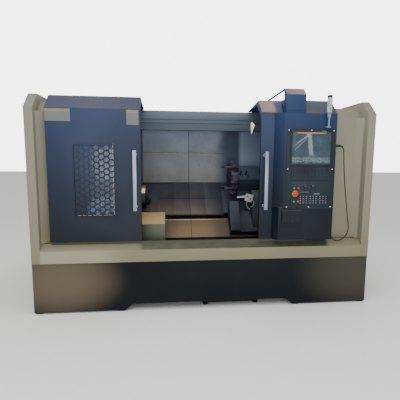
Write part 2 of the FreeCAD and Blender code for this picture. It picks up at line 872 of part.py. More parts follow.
def make_headstock_wall():
    """Wall at the headstock, open round the chuck, and the fixed way cover against it."""
    body = run_along_x(bay_end_outline(seat_gap), bay_left - sheet_wall, bay_left)
    hole = rod("X", chuck_radius + run_gap, sheet_wall * 4, bay_left - sheet_wall * 2, axis_y, axis_height)
    first = run_along_x(cover_section(int(cover_count.value) - 1), bay_left + seat_gap,
                        bay_left + cover_length, True)
    node("headstock_wall", together(cut(body, hole), first))


def make_rear_cover():
    """Rear roof and back of the enclosure, one folded sheet."""
    y1 = front + cover_back
    shape = [(beam_back, roof_height), (y1, roof_height), (y1, base_height),
             (y1 - sheet_wall, base_height), (y1 - sheet_wall, roof_height - sheet_wall),
             (beam_back, roof_height - sheet_wall)]
    node("rear_cover", run_along_x(shape, -inner, inner))


def make_work_lamp():
    """Working light: a three-cornered lamp that hangs on the ledge of the beam."""
    y1 = beam_front + beam_step - seat_gap
    corners = [(lamp_left, lamp_head), (lamp_point, lamp_foot), (lamp_right, lamp_side)]
    node("work_lamp", run_back(corners, y1 - lamp_depth, y1))


# ================================================================ doors
def door_outline(inset):
    """Side outline of a door skin: face, slope and gently falling roof."""
    face = front + door_in + inset
    slope_y = face + door_peak - door_fold - inset / 2
    return [(face, door_foot + inset), (face, door_fold - inset / 2),
            (slope_y, door_peak - inset), (front + door_roof_in, door_roof_end - inset)]


def make_door(name, x0, door_width, window=None):
    """Sliding door: a folded skin, closed edges with a gusset under the slope, and guide shoes."""
    x1 = x0 + door_width
    outer = door_outline(0)
    skin = outer + list(reversed(door_outline(door_wall)))
    inner_edge = front + door_in + door_thick
    panel_face = front + panel_in - run_gap
    edge = outer + [(front + door_roof_in, beam_top + sheet_wall),
                    (panel_face + panel_run, panel_fold + panel_rise + run_gap),
                    (panel_face, panel_fold + run_gap),
                    (inner_edge, door_fold - door_gusset), (inner_edge, door_foot)]
    body = run_along_x(skin, x0, x1)
    feature(body, "Pad", YZ, edge, x0, door_wall)
    feature(body, "Pad", YZ, edge, x1 - door_wall, door_wall)
    foot = rectangle(front + door_in, inner_edge, door_foot, door_foot + door_wall)
    feature(body, "Pad", YZ, foot, x0, door_width)
    if window:
        hollow_back(body, window, front + door_in - door_wall, front + door_in + door_wall * 2)
    rail_middle = front + rail_in
    shoes = []
    for x in (x0 + shoe_length / 2, x1 - shoe_length * 3 / 2):
        shoes.append(box(x, x + shoe_length, rail_middle - shoe_width / 2, rail_middle + shoe_width / 2,
                         rail_top + seat_gap, door_foot + door_wall))
        shoes.append(box(x, x + shoe_length, beam_front + rail_width, front + door_roof_in,
                         beam_top + seat_gap, door_roof_end))
    node(name, fuse(body, *shoes))


def make_doors():
    window_right = window_left + window_width
    window_top = window_foot + window_height
    hole = rectangle(window_left, window_right, window_foot, window_top)
    make_door("left_door", left_door_left, left_door_width, hole)
    make_door("right_door", right_door_left, right_door_width)
    face = front + door_in
    left_handle_x = left_door_left + left_door_width - handle_edge - handle_width
    make_handle("left_handle", left_handle_x, face)
    make_handle("right_handle", right_door_left + handle_edge_right, face)
    back = face + door_wall
    pane = box(window_left - window_frame, window_right + window_frame, back + grille_wall,
               back + grille_wall + pane_wall, window_foot - window_frame, window_top + window_frame)
    node("left_pane", pane)
    make_grille(back)


def make_handle(name, x0, face):
    """Door handle: a flat upright bar with rounded ends on two legs."""
    x1 = x0 + handle_width
    y0 = face - handle_reach
    y1 = y0 + handle_thick
    top = handle_foot + handle_height
    bevel = handle_thick / 3
    bar_shape = [(x0 + bevel, y0), (x1 - bevel, y0), (x1, y0 + bevel), (x1, y1), (x0, y1),
                 (x0, y0 + bevel)]
    bar = run_up(bar_shape, handle_foot, top)
    legs = []
    for z in (handle_foot + handle_leg, top - handle_leg * 2):
        legs.append(box(x0 + bevel, x1 - bevel, y1, face, z, z + handle_leg))
    node(name, fuse(bar, *legs))


def make_grille(back):
    """Window grille: one punched sheet whose six-sided holes stand in staggered columns."""
    window_right = window_left + window_width
    window_top = window_foot + window_height
    plate = new_body()
    frame_points = rectangle(window_left - window_frame, window_right + window_frame,
                             window_foot - window_frame, window_top + window_frame)
    feature(plate, "Pad", XZ, frame_points, -(back + grille_wall), grille_wall)
    pitch_x = window_width / hex_columns
    pitch_z = window_height / hex_rows
    half_high = (pitch_z - hex_bar) / 2
    side = half_high * (2 / math.sqrt(3))
    solids = []
    for column in range(int(hex_columns.value)):
        for row in range(int(hex_rows.value) - column % 2):
            x = window_left + pitch_x * (column + 0.5)
            z = window_foot + pitch_z * (row + 0.5 + (column % 2) * 0.5)
            solids.append(hexagon(x.value, z.value, side.value, half_high.value, back))
    holes = doc.addObject("Part::Feature", "punched_holes")
    holes.Shape = Part.Compound(solids)
    node("left_grille", cut(plate, holes))


def hexagon(x, z, side, half_high, back):
    """A six-sided prism through the grille, with flat top and bottom."""
    across = ((side, 0), (side / 2, half_high), (-side / 2, half_high),
              (-side, 0), (-side / 2, -half_high), (side / 2, -half_high))
    start = back.value - grille_wall.value
    corners = [FreeCAD.Vector(x + dx, start, z + dz) for dx, dz in across]
    face = Part.Face(Part.makePolygon(corners + corners[:1]))
    return face.extrude(FreeCAD.Vector(0, grille_wall.value * 3, 0))


# ================================================================ bed and headstock
def make_bed():
    """Slant bed: a hollow wedge casting with ways, screw bearings and the feed motor."""
    toe_y = axis_y - bed_lower * cosine(slant) + bed_drop * sine(slant)
    toe_z = axis_height - bed_lower * sine(slant) - bed_drop * cosine(slant)
    top_y = axis_y + bed_upper * cosine(slant) + bed_drop * sine(slant)
    top_z = axis_height + bed_upper * sine(slant) - bed_drop * cosine(slant)
    back = front + bed_back
    shape = [(toe_y, base_height), (back, base_height), (back, top_z - bed_wall), (top_y, top_z),
             (toe_y, toe_z)]
    body = run_along_x(shape, bed_left, bed_right)
    hollow = [(toe_y + bed_wall * 3, base_height + bed_wall),
              (back - bed_wall, base_height + bed_wall), (back - bed_wall, top_z - bed_wall * 3)]
    hollow_along_x(body, hollow, bed_left, bed_right)
    ways = []
    for place_s in (way_upper, way_lower):
        section = rectangle(place_s - way_width / 2, place_s + way_width / 2, -bed_drop,
                            way_height - bed_drop - seat_gap)
        ways.append(run_along_x(section, bay_left, bed_right, True))
    tail_section = rectangle(way_tail - tail_way_width / 2, way_tail + tail_way_width / 2,
                             -bed_drop, tail_way_height - bed_drop - seat_gap)
    ways.append(run_along_x(tail_section, bay_left, bed_right, True))
    block_section = rectangle(screw_place - screw_block / 2, screw_place + screw_block / 2,
                              -bed_drop, screw_block_height - bed_drop)
    for x0, x1 in ((bay_left, screw_left), (screw_right, bed_right)):
        ways.append(run_along_x(block_section, x0, x1, True))
    node("bed_casting", fuse(body, *ways))


def make_feed_screw():
    """Feed screw between its two bearing blocks."""
    s = screw_place
    n = screw_lift - bed_drop
    length = screw_right - screw_left - seat_gap * 2
    y = axis_y + s * cosine(slant) - n * sine(slant)
    z = axis_height + s * sine(slant) + n * cosine(slant)
    node("feed_screw", rod("X", screw_radius, length, screw_left + seat_gap, y, z))


def make_headstock():
    """Headstock casting: a bevelled block on the slant with the spindle bore."""
    shape = [(-head_half, -bed_drop), (head_half, -bed_drop), (head_half, head_top - head_bevel),
             (head_half - head_bevel, head_top), (head_bevel - head_half, head_top),
             (-head_half, head_top - head_bevel)]
    body = run_along_x(shape, head_left, head_right, True)
    bore = rod("X", spindle_radius + seat_gap, head_right - head_left + sheet_wall * 4,
               head_left - sheet_wall * 2, axis_y, axis_height)
    node("headstock", cut(body, bore))


def make_spindle():
    """Spindle: a hollow shaft with a nose flange and the belt pulley at its tail."""
    shaft = prism("X", turned_sides / 2, spindle_radius, head_right - spindle_tail, spindle_tail, axis_y,
                  axis_height)
    chuck_back = chuck_face - chuck_length
    nose = prism("X", pulley_teeth, nose_radius, chuck_back - head_right - seat_gap,
                 head_right + seat_gap, axis_y, axis_height)
    pulley = pulley_solid(axis_y, axis_height)
    bore = rod("X", spindle_bore, chuck_back - spindle_tail + sheet_wall * 2,
               spindle_tail - sheet_wall, axis_y, axis_height)
    node("spindle", cut(fuse(shaft, nose, pulley), bore))


def pulley_solid(y, z):
    """A flanged pulley with a flat for each tooth of the belt, for the spindle or the motor."""
    teeth = pulley_teeth
    wheel = prism("X", teeth, pulley_radius, pulley_width, spindle_tail, y, z)
    rims = [prism("X", teeth, pulley_radius + belt_wall + pulley_rim, pulley_rim, x, y, z)
            for x in (spindle_tail, spindle_tail + pulley_width - pulley_rim)]
    return fuse(wheel, *rims)


def make_drive():
    """Spindle motor on the base, its pulley and the belt."""
    y = front + motor_in
    z = base_height + motor_half
    back_plane = spindle_tail + pulley_width + motor_gap
    bevel = motor_bevel
    shape = [(y - motor_half + bevel, base_height), (y + motor_half - bevel, base_height),
             (y + motor_half, base_height + bevel), (y + motor_half, z + motor_half - bevel),
             (y + motor_half - bevel, z + motor_half), (y - motor_half + bevel, z + motor_half),
             (y - motor_half, z + motor_half - bevel), (y - motor_half, base_height + bevel)]
    node("spindle_motor", run_along_x(shape, back_plane, back_plane + motor_length))
    shaft = prism("X", pulley_teeth / 2, motor_shaft, motor_gap + pulley_rim - seat_gap,
                  back_plane - motor_gap - pulley_rim, y, z)
    node("motor_pulley", fuse(pulley_solid(y, z), shaft))
    rise = axis_height - z
    run = axis_y - y
    belt_x = spindle_tail + (pulley_width - belt_width) / 2
    half_tooth = Size.of(180) / pulley_teeth
    outer = belt_loop(y, z, run, rise, pulley_radius + belt_wall, belt_x, belt_width, half_tooth)
    inside = (pulley_radius + seat_gap) / cosine(half_tooth)
    inner_loop = belt_loop(y, z, run, rise, inside, belt_x - pulley_rim, belt_width + pulley_rim * 2,
                           half_tooth)
    node("drive_belt", cut(outer, inner_loop))


def belt_loop(y, z, run, rise, radius, x, wide, half_tooth):
    """A flat loop round two equal pulleys: two ends and the slab between their centres."""
    ends = [prism("X", pulley_teeth, radius, wide, x, y, z),
            prism("X", pulley_teeth, radius, wide, x, y + run, z + rise)]
    for end in ends:
        phase = FreeCAD.Rotation(FreeCAD.Vector(1, 0, 0), half_tooth.value)
        end.Placement.Rotation = phase.multiply(turns["X"])
    slab = doc.addObject("Part::Box", "slab")
    span = f"sqrt({run.words} * {run.words} + {rise.words} * {rise.words})"
    angle = f"atan({rise.words} / {run.words})"
    slab.Placement = FreeCAD.Placement(FreeCAD.Vector(),
                                       FreeCAD.Rotation(FreeCAD.Vector(1, 0, 0), 1))
    bind(slab, Length=wide, Height=radius * 2)
    slab.setExpression("Width", span)
    slab.setExpression(".Placement.Rotation.Angle", angle)
    slab.setExpression(".Placement.Base.x", x.words)
    slab.setExpression(".Placement.Base.y", f"{y.words} + sin({angle}) * {radius.words}")
    slab.setExpression(".Placement.Base.z", f"{z.words} - cos({angle}) * {radius.words}")
    return fuse(slab, *ends)


def make_chuck():
    """Three-jaw chuck: a turned body with three ways, and its stepped jaws."""
    back = chuck_face - chuck_length
    body = prism("X", turned_sides, chuck_radius, chuck_length, back, axis_y, axis_height)
    bore = rod("X", spindle_bore, chuck_length * 2, back - chuck_length / 2, axis_y, axis_height)
    slot_back = chuck_face - jaw_key
    slots = []
    for number in range(3):
        angle = Size.of(number * 120)
        wide = jaw_width / 2 + seat_gap
        slots.append(turned(run_along_x(rectangle(-wide, wide, spindle_bore, chuck_radius + run_gap),
                                        slot_back - seat_gap, chuck_face + run_gap), angle))
        make_jaw(number + 1, angle)
    node("chuck_body", cut(body, bore, *slots))


def turned(body, angle):
    """Turns a body that was drawn about X onto the spindle line."""
    body.Placement.Rotation = FreeCAD.Rotation(FreeCAD.Vector(1, 0, 0), angle.value)
    place(body, 0, axis_y, axis_height)
    return body


def make_jaw(number, angle):
    """A jaw: its key lies in the chuck's way, its two steps grip the work."""
    wide = jaw_width / 2
    base = chuck_face - jaw_key
    low = chuck_face + jaw_step_out
    top = chuck_face + jaw_reach
    body = run_along_x(rectangle(-wide, wide, jaw_inner, jaw_outer), base, low)
    feature(body, "Pad", YZ, rectangle(-wide, wide, jaw_step, jaw_outer), low, top - low)
    node(f"jaw_{number}", turned(body, angle))


# ================================================================ way covers and carriage
def cover_section(layer):
    """Section of one way cover: a plate with a skirt down each edge. Inner covers lie lower."""
    drop = cover_top + (cover_wall + cover_gap) * layer
    grow = (cover_wall + cover_gap) * layer
    upper = cover_upper - grow
    lower = cover_lower + grow
    wall = cover_wall
    foot = -drop - cover_skirt
    return [(lower, foot), (lower + wall, foot), (lower + wall, -drop - wall),
            (upper - wall, -drop - wall), (upper - wall, foot), (upper, foot), (upper, -drop),
            (lower, -drop)]


def cover_place(number):
    """Left edge of a cover: the first is at the headstock wall, the last on the carriage."""
    reach = carriage_left - bay_left - cover_length
    return bay_left + reach * (number / (cover_count.value - 1))


def make_covers():
    """The sliding way covers between the fixed one and the one on the carriage."""
    for number in range(1, int(cover_count.value) - 1):
        layer = int(cover_count.value) - 1 - number
        x0 = cover_place(number)
        node(f"left_cover_{number}",
             run_along_x(cover_section(layer), x0, x0 + cover_length, True))


def make_carriage():
    """Carriage: a saddle on the two ways, the slide's ribs, the last left cover and the right cover."""
    x0 = carriage_left
    x1 = x0 + carriage_length
    saddle = run_along_x(rectangle(carriage_lower, carriage_upper, way_height - bed_drop, -carriage_top),
                         x0, x1, True)
    skirt = run_along_x(cover_section(0), x0 - cover_length, x0 - seat_gap, True)
    tail = run_along_x(cover_section(0), x1 + seat_gap, x1 + right_cover_length, True)
    ribs = []
    for x in (slide_left, slide_left + slide_length - slide_way_width):
        ribs.append(run_along_x(rectangle(slide_lower - slide_way_reach, carriage_upper,
                                          seat_gap - carriage_top, slide_way - carriage_top),
                                x, x + slide_way_width, True))
    node("carriage", together(saddle, skirt, tail, *ribs))


def make_cross_slide():
    """Cross slide, turret housing and its motor: they climb the slant together."""
    foot = slide_way - carriage_top + seat_gap
    x1 = slide_left + slide_length
    base = run_along_x(rectangle(slide_lower, slide_upper, foot, -slide_top), slide_left, x1, True)
    lower = turret_place - turret_half
    upper = turret_place + turret_half
    bevel = turret_bevel
    house = run_along_x([(lower, -slide_top), (upper, -slide_top), (upper, turret_half - bevel),
                         (upper - bevel, turret_half), (lower + bevel, turret_half),
                         (lower, turret_half - bevel)],
                        disc_right + run_gap, turret_right, True)
    side = turret_motor_side / 2
    motor = run_along_x(rectangle(turret_place - side, turret_place + side, -side, side), turret_right,
                        turret_right + turret_motor_length, True)
    node("cross_slide", fuse(base, house, motor))


def turret_point(s, n):
    """Y and Z of a point given in the slanted frame."""
    return (axis_y + s * cosine(slant) - n * sine(slant),
            axis_height + s * sine(slant) + n * cosine(slant))


def make_turret():
    """Turret disc with flat sides, a neck into its housing, and the tools of its stations."""
    y, z = turret_point(turret_place, 0)
    count = int(stations.value)
    step = 2 * math.pi / count
    corner = disc_across / math.cos(step / 2)
    body = doc.addObject("PartDesign::Body", "piece")
    body.Placement.Rotation = FreeCAD.Rotation(FreeCAD.Vector(1, 0, 0), slant.value)
    body.setExpression(".Placement.Rotation.Angle", slant.words)
    place(body, 0, y, z)
    ring = [(corner * math.cos((i + 0.5) * step), corner * math.sin((i + 0.5) * step))
            for i in range(count)]
    feature(body, "Pad", YZ, ring, disc_left, disc_right - disc_left)
    neck = prism("X", stations * 2, disc_neck, run_gap - seat_gap, disc_right, y, z)
    node("turret_disc", fuse(body, neck))
    tools = [make_tool(index, index * 360 / count, y, z) for index in range(count)]
    node("tool_holders", together(*tools))


def make_tool(index, angle, y, z):
    """A tool block on one flat of the disc, with a bar on every other station."""
    wide = tool_width / 2
    x0 = (disc_left + disc_right - tool_depth) / 2
    body = run_along_x(rectangle(disc_across, disc_across + tool_length, -wide, wide), x0, x0 + tool_depth)
    if index % 2 == 0:
        middle = disc_across + tool_length / 2
        side = bar_radius
        section = [(middle - side, -side / 2), (middle - side / 2, -side), (middle + side / 2, -side),
                   (middle + side, -side / 2), (middle + side, side / 2), (middle + side / 2, side),
                   (middle - side / 2, side), (middle - side, side / 2)]
        feature(body, "Pad", YZ, section, x0 - bar_reach, bar_reach)
    body.Placement.Rotation = FreeCAD.Rotation(FreeCAD.Vector(1, 0, 0), slant.value + angle)
    body.setExpression(".Placement.Rotation.Angle", (slant + angle).words)
    place(body, 0, y, z)
    return body


def make_pipes():
    """Coolant pipes on the turret housing: each rises, bends and points at the work."""
    low = turret_place - turret_half + turret_bevel + pipe_radius * 2
    y, z = turret_point(low, turret_half)
    pipes = []
    for number in range(2):
        x = disc_right + run_gap + pipe_radius * 2 + pipe_pitch * number
        pipes.append(pipe_solid(FreeCAD.Vector(x.value, y.value, z.value)))
    thing = doc.addObject("Part::Feature", "coolant_pipes")
    thing.Shape = Part.Compound(pipes)
    node("coolant_pipes", thing)


def pipe_solid(foot):
    """A jointed pipe: up off the slanted housing, three mitred links, then down the slant."""
    tilt = math.radians(slant.value)
    link = pipe_turn.value
    up = FreeCAD.Vector(0, -math.sin(tilt), math.cos(tilt))
    ahead = FreeCAD.Vector(0, -math.cos(tilt), -math.sin(tilt))
    stations = [foot, foot + up * pipe_rise.value]
    for part in (1, 2):
        angle = math.pi / 6 * part
        stations.append(stations[-1] + (up * math.cos(angle) + ahead * math.sin(angle)) * link)
    stations.append(stations[-1] + ahead * pipe_reach.value)
    path = Part.makePolygon(stations)
    section = tube_section(foot, up, pipe_radius.value)
    return path.makePipeShell([section], True, False, 1)


def tube_section(centre, direction, radius):
    """The many-sided section of a tube, as large in area as the circle that it stands for."""
    count = int(tube_sides.value)
    turn = 2 * math.pi / count
    reach = radius * math.sqrt(turn / math.sin(turn))
    ahead = FreeCAD.Vector(direction).normalize()
    across = ahead.cross(FreeCAD.Vector(0, 1, 0)).normalize()
    upward = ahead.cross(across)
    corners = [centre + (across * math.cos(turn * i) + upward * math.sin(turn * i)) * reach
               for i in range(count)]
    return Part.makePolygon(corners + corners[:1])


# ================================================================ tailstock
def make_tailstock():
    """Tailstock: a long foot on its way, a cheek under the centre, a column and a barrel."""
    sole = -cover_top + tail_clear
    foot = run_along_x(rectangle(tail_foot_lower, tail_foot_upper, sole, -tail_foot_top), tail_left,
                       tail_right, True)
    cheek = run_along_x([(tail_foot_lower, sole), (tail_foot_upper, sole),
                         (-cheek_top, -cheek_top - cheek_run), (-cheek_top, -cheek_top),
                         (-cheek_top - cheek_run, -cheek_top), (tail_foot_lower, -cheek_low)],
                        tail_left, tail_left + cheek_length, True)
    neck_x0 = tail_left + tail_neck_width
    neck = run_along_x(rectangle(way_tail - tail_neck_width / 2, way_tail + tail_neck_width / 2,
                                 tail_way_height - bed_drop, sole), neck_x0, tail_right, True)
    reach = tail_column
    column = run_along_x([(tail_foot_lower + reach, -tail_foot_top), (tail_foot_upper, -tail_foot_top),
                          (reach, -reach), (reach, reach), (-reach, reach)],
                         tail_body_left, tail_right, True)
    barrel = rod("X", tail_barrel, tail_right - tail_body_left, tail_body_left, axis_y, axis_height)
    bore_left = tail_body_left - run_gap
    bore = rod("X", quill_radius + seat_gap, quill_right + quill_travel + run_gap - bore_left, bore_left,
               axis_y, axis_height)
    node("tailstock_body", cut(fuse(foot, cheek, neck, column, barrel), bore))
    centre_foot = quill_left - seat_gap
    quill = prism("X", turned_sides / 2, quill_radius, quill_right - quill_left, quill_left, axis_y,
                  axis_height)
    node("quill", quill)
    shoulder = centre_tip + centre_cone
    rings = [(centre_tip, centre_point), (shoulder, centre_shoulder), (shoulder, centre_radius),
             (centre_foot, centre_radius)]
    centre = doc.addObject("Part::Feature", "centre")
    centre.Shape = stepped([(x.value, radius.value) for x, radius in rings])
    node("live_centre", centre)


def stepped(rings):
    """A many-sided turned piece on the spindle line, through rings given by place and radius."""
    count = int(turned_sides.value / 2)
    loops = []
    for x, radius in rings:
        loops.append([FreeCAD.Vector(x, axis_y.value + radius * math.cos(2 * math.pi * i / count),
                                     axis_height.value + radius * math.sin(2 * math.pi * i / count))
                      for i in range(count)])
    faces = [Part.Face(Part.makePolygon(loop + loop[:1])) for loop in (loops[0], loops[-1])]
    for low, high in zip(loops, loops[1:]):
        for i in range(count):
            j = (i + 1) % count
            faces.append(Part.Face(Part.makePolygon([low[i], low[j], high[j], high[i], low[i]])))
    return Part.Solid(Part.Shell(faces))


def make_apron():
    """Lower apron of bright sheet: two channel panels on the bed, either side of a seam."""
    upper = apron_upper
    lower = apron_lower
    wall = sheet_wall
    shape = [(lower, -bed_drop), (lower + wall, -bed_drop), (lower + wall, -apron_drop - wall),
             (upper - wall, -apron_drop - wall), (upper - wall, -bed_drop), (upper, -bed_drop),
             (upper, -apron_drop), (lower, -apron_drop)]
    left = run_along_x(shape, bay_left, seam_place - seam_gap / 2, True)
    right = run_along_x(shape, seam_place + seam_gap / 2, bay_right - sheet_wall, True)
    node("chip_apron", together(left, right))


def make_guard():
    """Guard under the chuck: an open-backed box with a sloping top."""
    y0 = front + guard_in
    y1 = y0 + guard_depth
    shape = [(y0, base_height), (y1, base_height), (y1, guard_top), (y0, guard_front_top)]
    body = run_along_x(shape, bay_left, guard_right)
    wall = sheet_wall
    hollow = [(y0 + wall, base_height), (y1, base_height), (y1, guard_top - wall),
              (y0 + wall, guard_front_top - wall)]
    hollow_along_x(body, hollow, bay_left, guard_right - wall)
    node("headstock_guard", body)


# ================================================================ control cabinet
face_out = front - cabinet_out


def make_cabinet():
    """Control cabinet: a slim bent box in front of the right door, deep behind the door's end."""
    back = front + cabinet_back
    peak_y = face_out + cabinet_chamfer
    slope = cabinet_peak - cabinet_fold
    back_fold = cabinet_fold + cabinet_back
    back_peak_z = back_fold + peak_y - back
    shape = [(face_out, cabinet_foot), (back, cabinet_foot), (back, back_fold), (peak_y, back_peak_z),
             (peak_y, cabinet_fold + slope), (face_out, cabinet_fold)]
    body = run_along_x(shape, cabinet_flank, cabinet_right)
    beyond = cabinet_flank - run_gap
    near = face_out - run_gap
    low = [(beyond, near), (cabinet_left_low, near), (cabinet_left_low, face_out),
           (cabinet_flank + sheet_wall, back), (beyond, back)]
    feature(body, "Pocket", XY, low, cabinet_foot - run_gap, cabinet_break - cabinet_foot + run_gap)
    high = [(beyond, near), (cabinet_left, near), (cabinet_left, face_out),
            (cabinet_flank + sheet_wall, back), (beyond, back)]
    feature(body, "Pocket", XY, high, cabinet_break, flank_top - cabinet_break)
    top = rectangle(beyond, cabinet_left, near, peak_y + run_gap)
    feature(body, "Pocket", XY, top, flank_top, cabinet_peak - flank_top + run_gap)
    deep = rectangle(cabinet_deep_left, cabinet_right, back, front + panel_in)
    feature(body, "Pad", XY, deep, cabinet_foot, panel_fold - cabinet_foot)
    node("control_cabinet", cut(fuse(body, *lead_fittings()), *stem_pockets()))


def stem_pockets():
    """Blind holes behind the plate, into which the stems run."""
    start = face_out - seat_gap
    end = face_out + stem_pocket
    pockets = [square_bar(button_bore, x, start, end, z) for x, z in button_places().values()]
    pockets.append(square_bar(stop_bore, stop_place, start, end, stop_height))
    return pockets


def make_tower():
    """Cable duct: a box that rises from the cabinet, and two rails that run back over the door."""
    back = front + cabinet_back
    peak_y = face_out + tower_chamfer
    roof_end = front + tower_roof_in
    roof_z = tower_peak - tower_sag
    deep = rail_deep
    shape = [(face_out, cabinet_fold), (back, cabinet_fold + cabinet_out + cabinet_back),
             (back, tower_peak), (peak_y, tower_peak), (face_out, tower_fold)]
    body = run_along_x(shape, cabinet_left, tower_right)
    rail = [(back, tower_peak), (back, tower_peak - deep), (roof_end - deep, roof_z - deep),
            (roof_end - deep, roof_height), (roof_end, roof_height), (roof_end, roof_z)]
    feature(body, "Pad", YZ, rail, cabinet_left, rail_wide)
    feature(body, "Pad", YZ, rail, tower_right - rail_wide, rail_wide)
    node("cable_tower", body)


def make_plate():
    """Operator plate with the frame of its screen and the bores of its controls."""
    y0 = face_out - plate_wall
    plate = box(plate_left, plate_right, y0, face_out, plate_foot, plate_head)
    rim = box(screen_left - bezel, screen_right + bezel, y0 - bezel_wall, y0, screen_foot - bezel,
              screen_head + bezel / 2)
    recess = box(screen_left, screen_right, y0 - bezel_wall * 2, y0, screen_foot, screen_head)
    node("panel_plate", cut(fuse(plate, cut(rim, recess)), *button_bores()))
    glass = box(screen_left + seat_gap, screen_right - seat_gap, y0 - glass_wall, y0,
                screen_foot + seat_gap, screen_head - seat_gap)
    node("screen_glass", glass)


def make_key_unit():
    """Keyboard unit under the screen: a frame with rows of key caps."""
    y1 = face_out - plate_wall
    y0 = y1 - keys_wall
    body = run_back(rectangle(keys_left, keys_right, keys_foot, keys_head), y0, y1)
    pitch_x = (keys_right - keys_left - keys_rim * 2) / key_columns
    pitch_z = (keys_head - keys_foot - keys_rim * 2) / key_rows
    caps = []
    for column in range(int(key_columns.value)):
        for row in range(int(key_rows.value)):
            x = keys_left + keys_rim + key_gap / 2 + pitch_x * column
            z = keys_foot + keys_rim + key_gap / 2 + pitch_z * row
            caps.append(box(x, x + pitch_x - key_gap, y0 - key_cap, y0, z, z + pitch_z - key_gap))
    node("key_unit", fuse(body, *caps))


def make_operator_panel():
    """Operator panel: a shallow box with bores for the buttons, and the collar of the stop."""
    y1 = face_out - plate_wall
    y0 = y1 - panel_wall
    body = box(panel_left, panel_right, y0, y1, panel_foot, panel_head)
    ring = prism("Y", round_sides, stop_ring, stop_ring_wall, stop_place, y0 - stop_ring_wall, stop_height)
    node("operator_panel", cut(fuse(body, ring), *button_bores()))


def button_places():
    """X and Z of the four push buttons, by name."""
    return {f"{colour}_button_{row}": (button_left + button_pitch * number, z)
            for number, colour in enumerate(("green", "red"))
            for row, z in (("upper", button_upper), ("lower", button_lower))}


def button_bores():
    """Bores through the panel and its plate for the stems of the buttons and the stop."""
    y0 = face_out - plate_wall - panel_wall - stop_ring_wall * 2
    bores = [square_bar(button_bore, x, y0, face_out, z) for x, z in button_places().values()]
    bores.append(square_bar(stop_bore, stop_place, y0, face_out, stop_height))
    return bores


def make_button(name, x, z):
    """A push button: a cap that stands off the panel by its travel, on a stem in the bore."""
    face = face_out - plate_wall - panel_wall
    under = face - button_travel - seat_gap
    cap = square_bar(button_side, x, under - button_cap, under, z)
    stem = square_bar(button_bore - seat_gap * 2, x, under, under + button_travel + button_stem, z)
    node(name, fuse(cap, stem))


def make_controls():
    face = face_out - plate_wall - panel_wall
    for name, (x, z) in button_places().items():
        make_button(name, x, z)
    under = face - stop_ring_wall - stop_travel - seat_gap
    stem = square_bar(stop_bore - seat_gap * 2, stop_place, under,
                       face + seat_gap + button_stem, stop_height)
    cap = prism("Y", knob_sides * 2, stop_radius, stop_cap, stop_place, under - stop_cap, stop_height)
    node("e_stop", fuse(stem, cap))
    for number, name in enumerate(("feed_knob", "speed_knob")):
        x = knob_place + knob_pitch * number
        top = face - knob_cap - seat_gap
        grip = prism("Y", knob_sides, knob_radius, knob_cap, x, top, knob_height)
        rib = box(x - knob_rib / 2, x + knob_rib / 2, top - knob_rib_rise, top,
                  knob_height - knob_radius + knob_rib / 2, knob_height + knob_radius - knob_rib / 2)
        node(name, fuse(grip, rib))


def make_service_box():
    """Service box low on the cabinet, with a slot along its foot."""
    y0 = face_out - box_out
    shape = [(y0, box_foot), (face_out, box_foot - box_slot), (face_out, box_head),
             (y0 + box_out / 2, box_head), (y0, box_head - box_out)]
    node("service_box", run_along_x(shape, box_left, box_right))


def make_signal_lamp():
    """Signal lamp: a mast on a foot against the cabinet, with its stacked lenses and cap."""
    y = front - front_reach + lens_radius
    foot = box(mast_place - mast_block, mast_place + mast_block, y - mast_radius, face_out,
               mast_foot, mast_foot + mast_block)
    sides = round_sides
    socket_foot = lens_foot - lens_socket
    mast = prism("Z", sides, mast_radius, socket_foot - mast_foot - mast_block, mast_place, y,
                 mast_foot + mast_block)
    socket = prism("Z", sides, mast_radius * 2, lens_socket, mast_place, y, socket_foot)
    parts = [fuse(foot, mast, socket)]
    for number in range(int(lens_count.value)):
        parts.append(prism("Z", sides, lens_radius, lens_height - seat_gap, mast_place, y,
                           lens_foot + lens_height * number))
    cap_foot = lens_foot + lens_height * lens_count.value - seat_gap
    parts.append(prism("Z", sides, lens_radius, lens_cap, mast_place, y, cap_foot + seat_gap))
    node("signal_lamp", together(*parts))


def lead_fittings():
    """The gland where the lead leaves the cabinet's side, and the elbow where it comes back."""
    y0 = front + gland_in
    gland = prism("X", gland_sides, gland_radius, gland_length, cabinet_right, y0, gland_height)
    y1 = front + socket_in
    elbow = box(cabinet_right, cabinet_right + gland_radius * 2, y1 - gland_radius,
                y1 + gland_radius, socket_height + gland_radius, socket_height + gland_length)
    socket = prism("Z", gland_sides, gland_radius - sheet_wall, gland_radius,
                   cabinet_right + gland_radius, y1, socket_height)
    return gland, elbow, socket


def make_lead():
    """The lead on the cabinet's side, from its gland down in a long loop and up to its elbow."""
    start = FreeCAD.Vector((cabinet_right + gland_length).value, (front + gland_in).value,
                           gland_height.value)
    end = FreeCAD.Vector((cabinet_right + gland_radius).value, (front + socket_in).value,
                         socket_height.value)
    offsets = ((24, 0, 0), (45, 1, -14), (56, 3, -42), (62, 5, -86), (67, 8, -150), (75, 11, -230),
               (86, 14, -322), (99, 17, -414), (113, 19, -506), (129, 22, -598), (143, 24, -692),
               (158, 26, -773), (165, 27, -833), (154, 28, -878), (129, 30, -916), (91, 32, -944),
               (48, 34, -957), (11, 35, -940), (-13, 36, -906), (-25, 36, -863))
    points = [start] + [start + FreeCAD.Vector(*step) for step in offsets]
    points += [end - FreeCAD.Vector(0, 0, 38), end]
    thing = doc.addObject("Part::Feature", "lead")
    thing.Shape = tube(points, lead_radius.value)
    node("lead", thing)


arc_share = 0.45


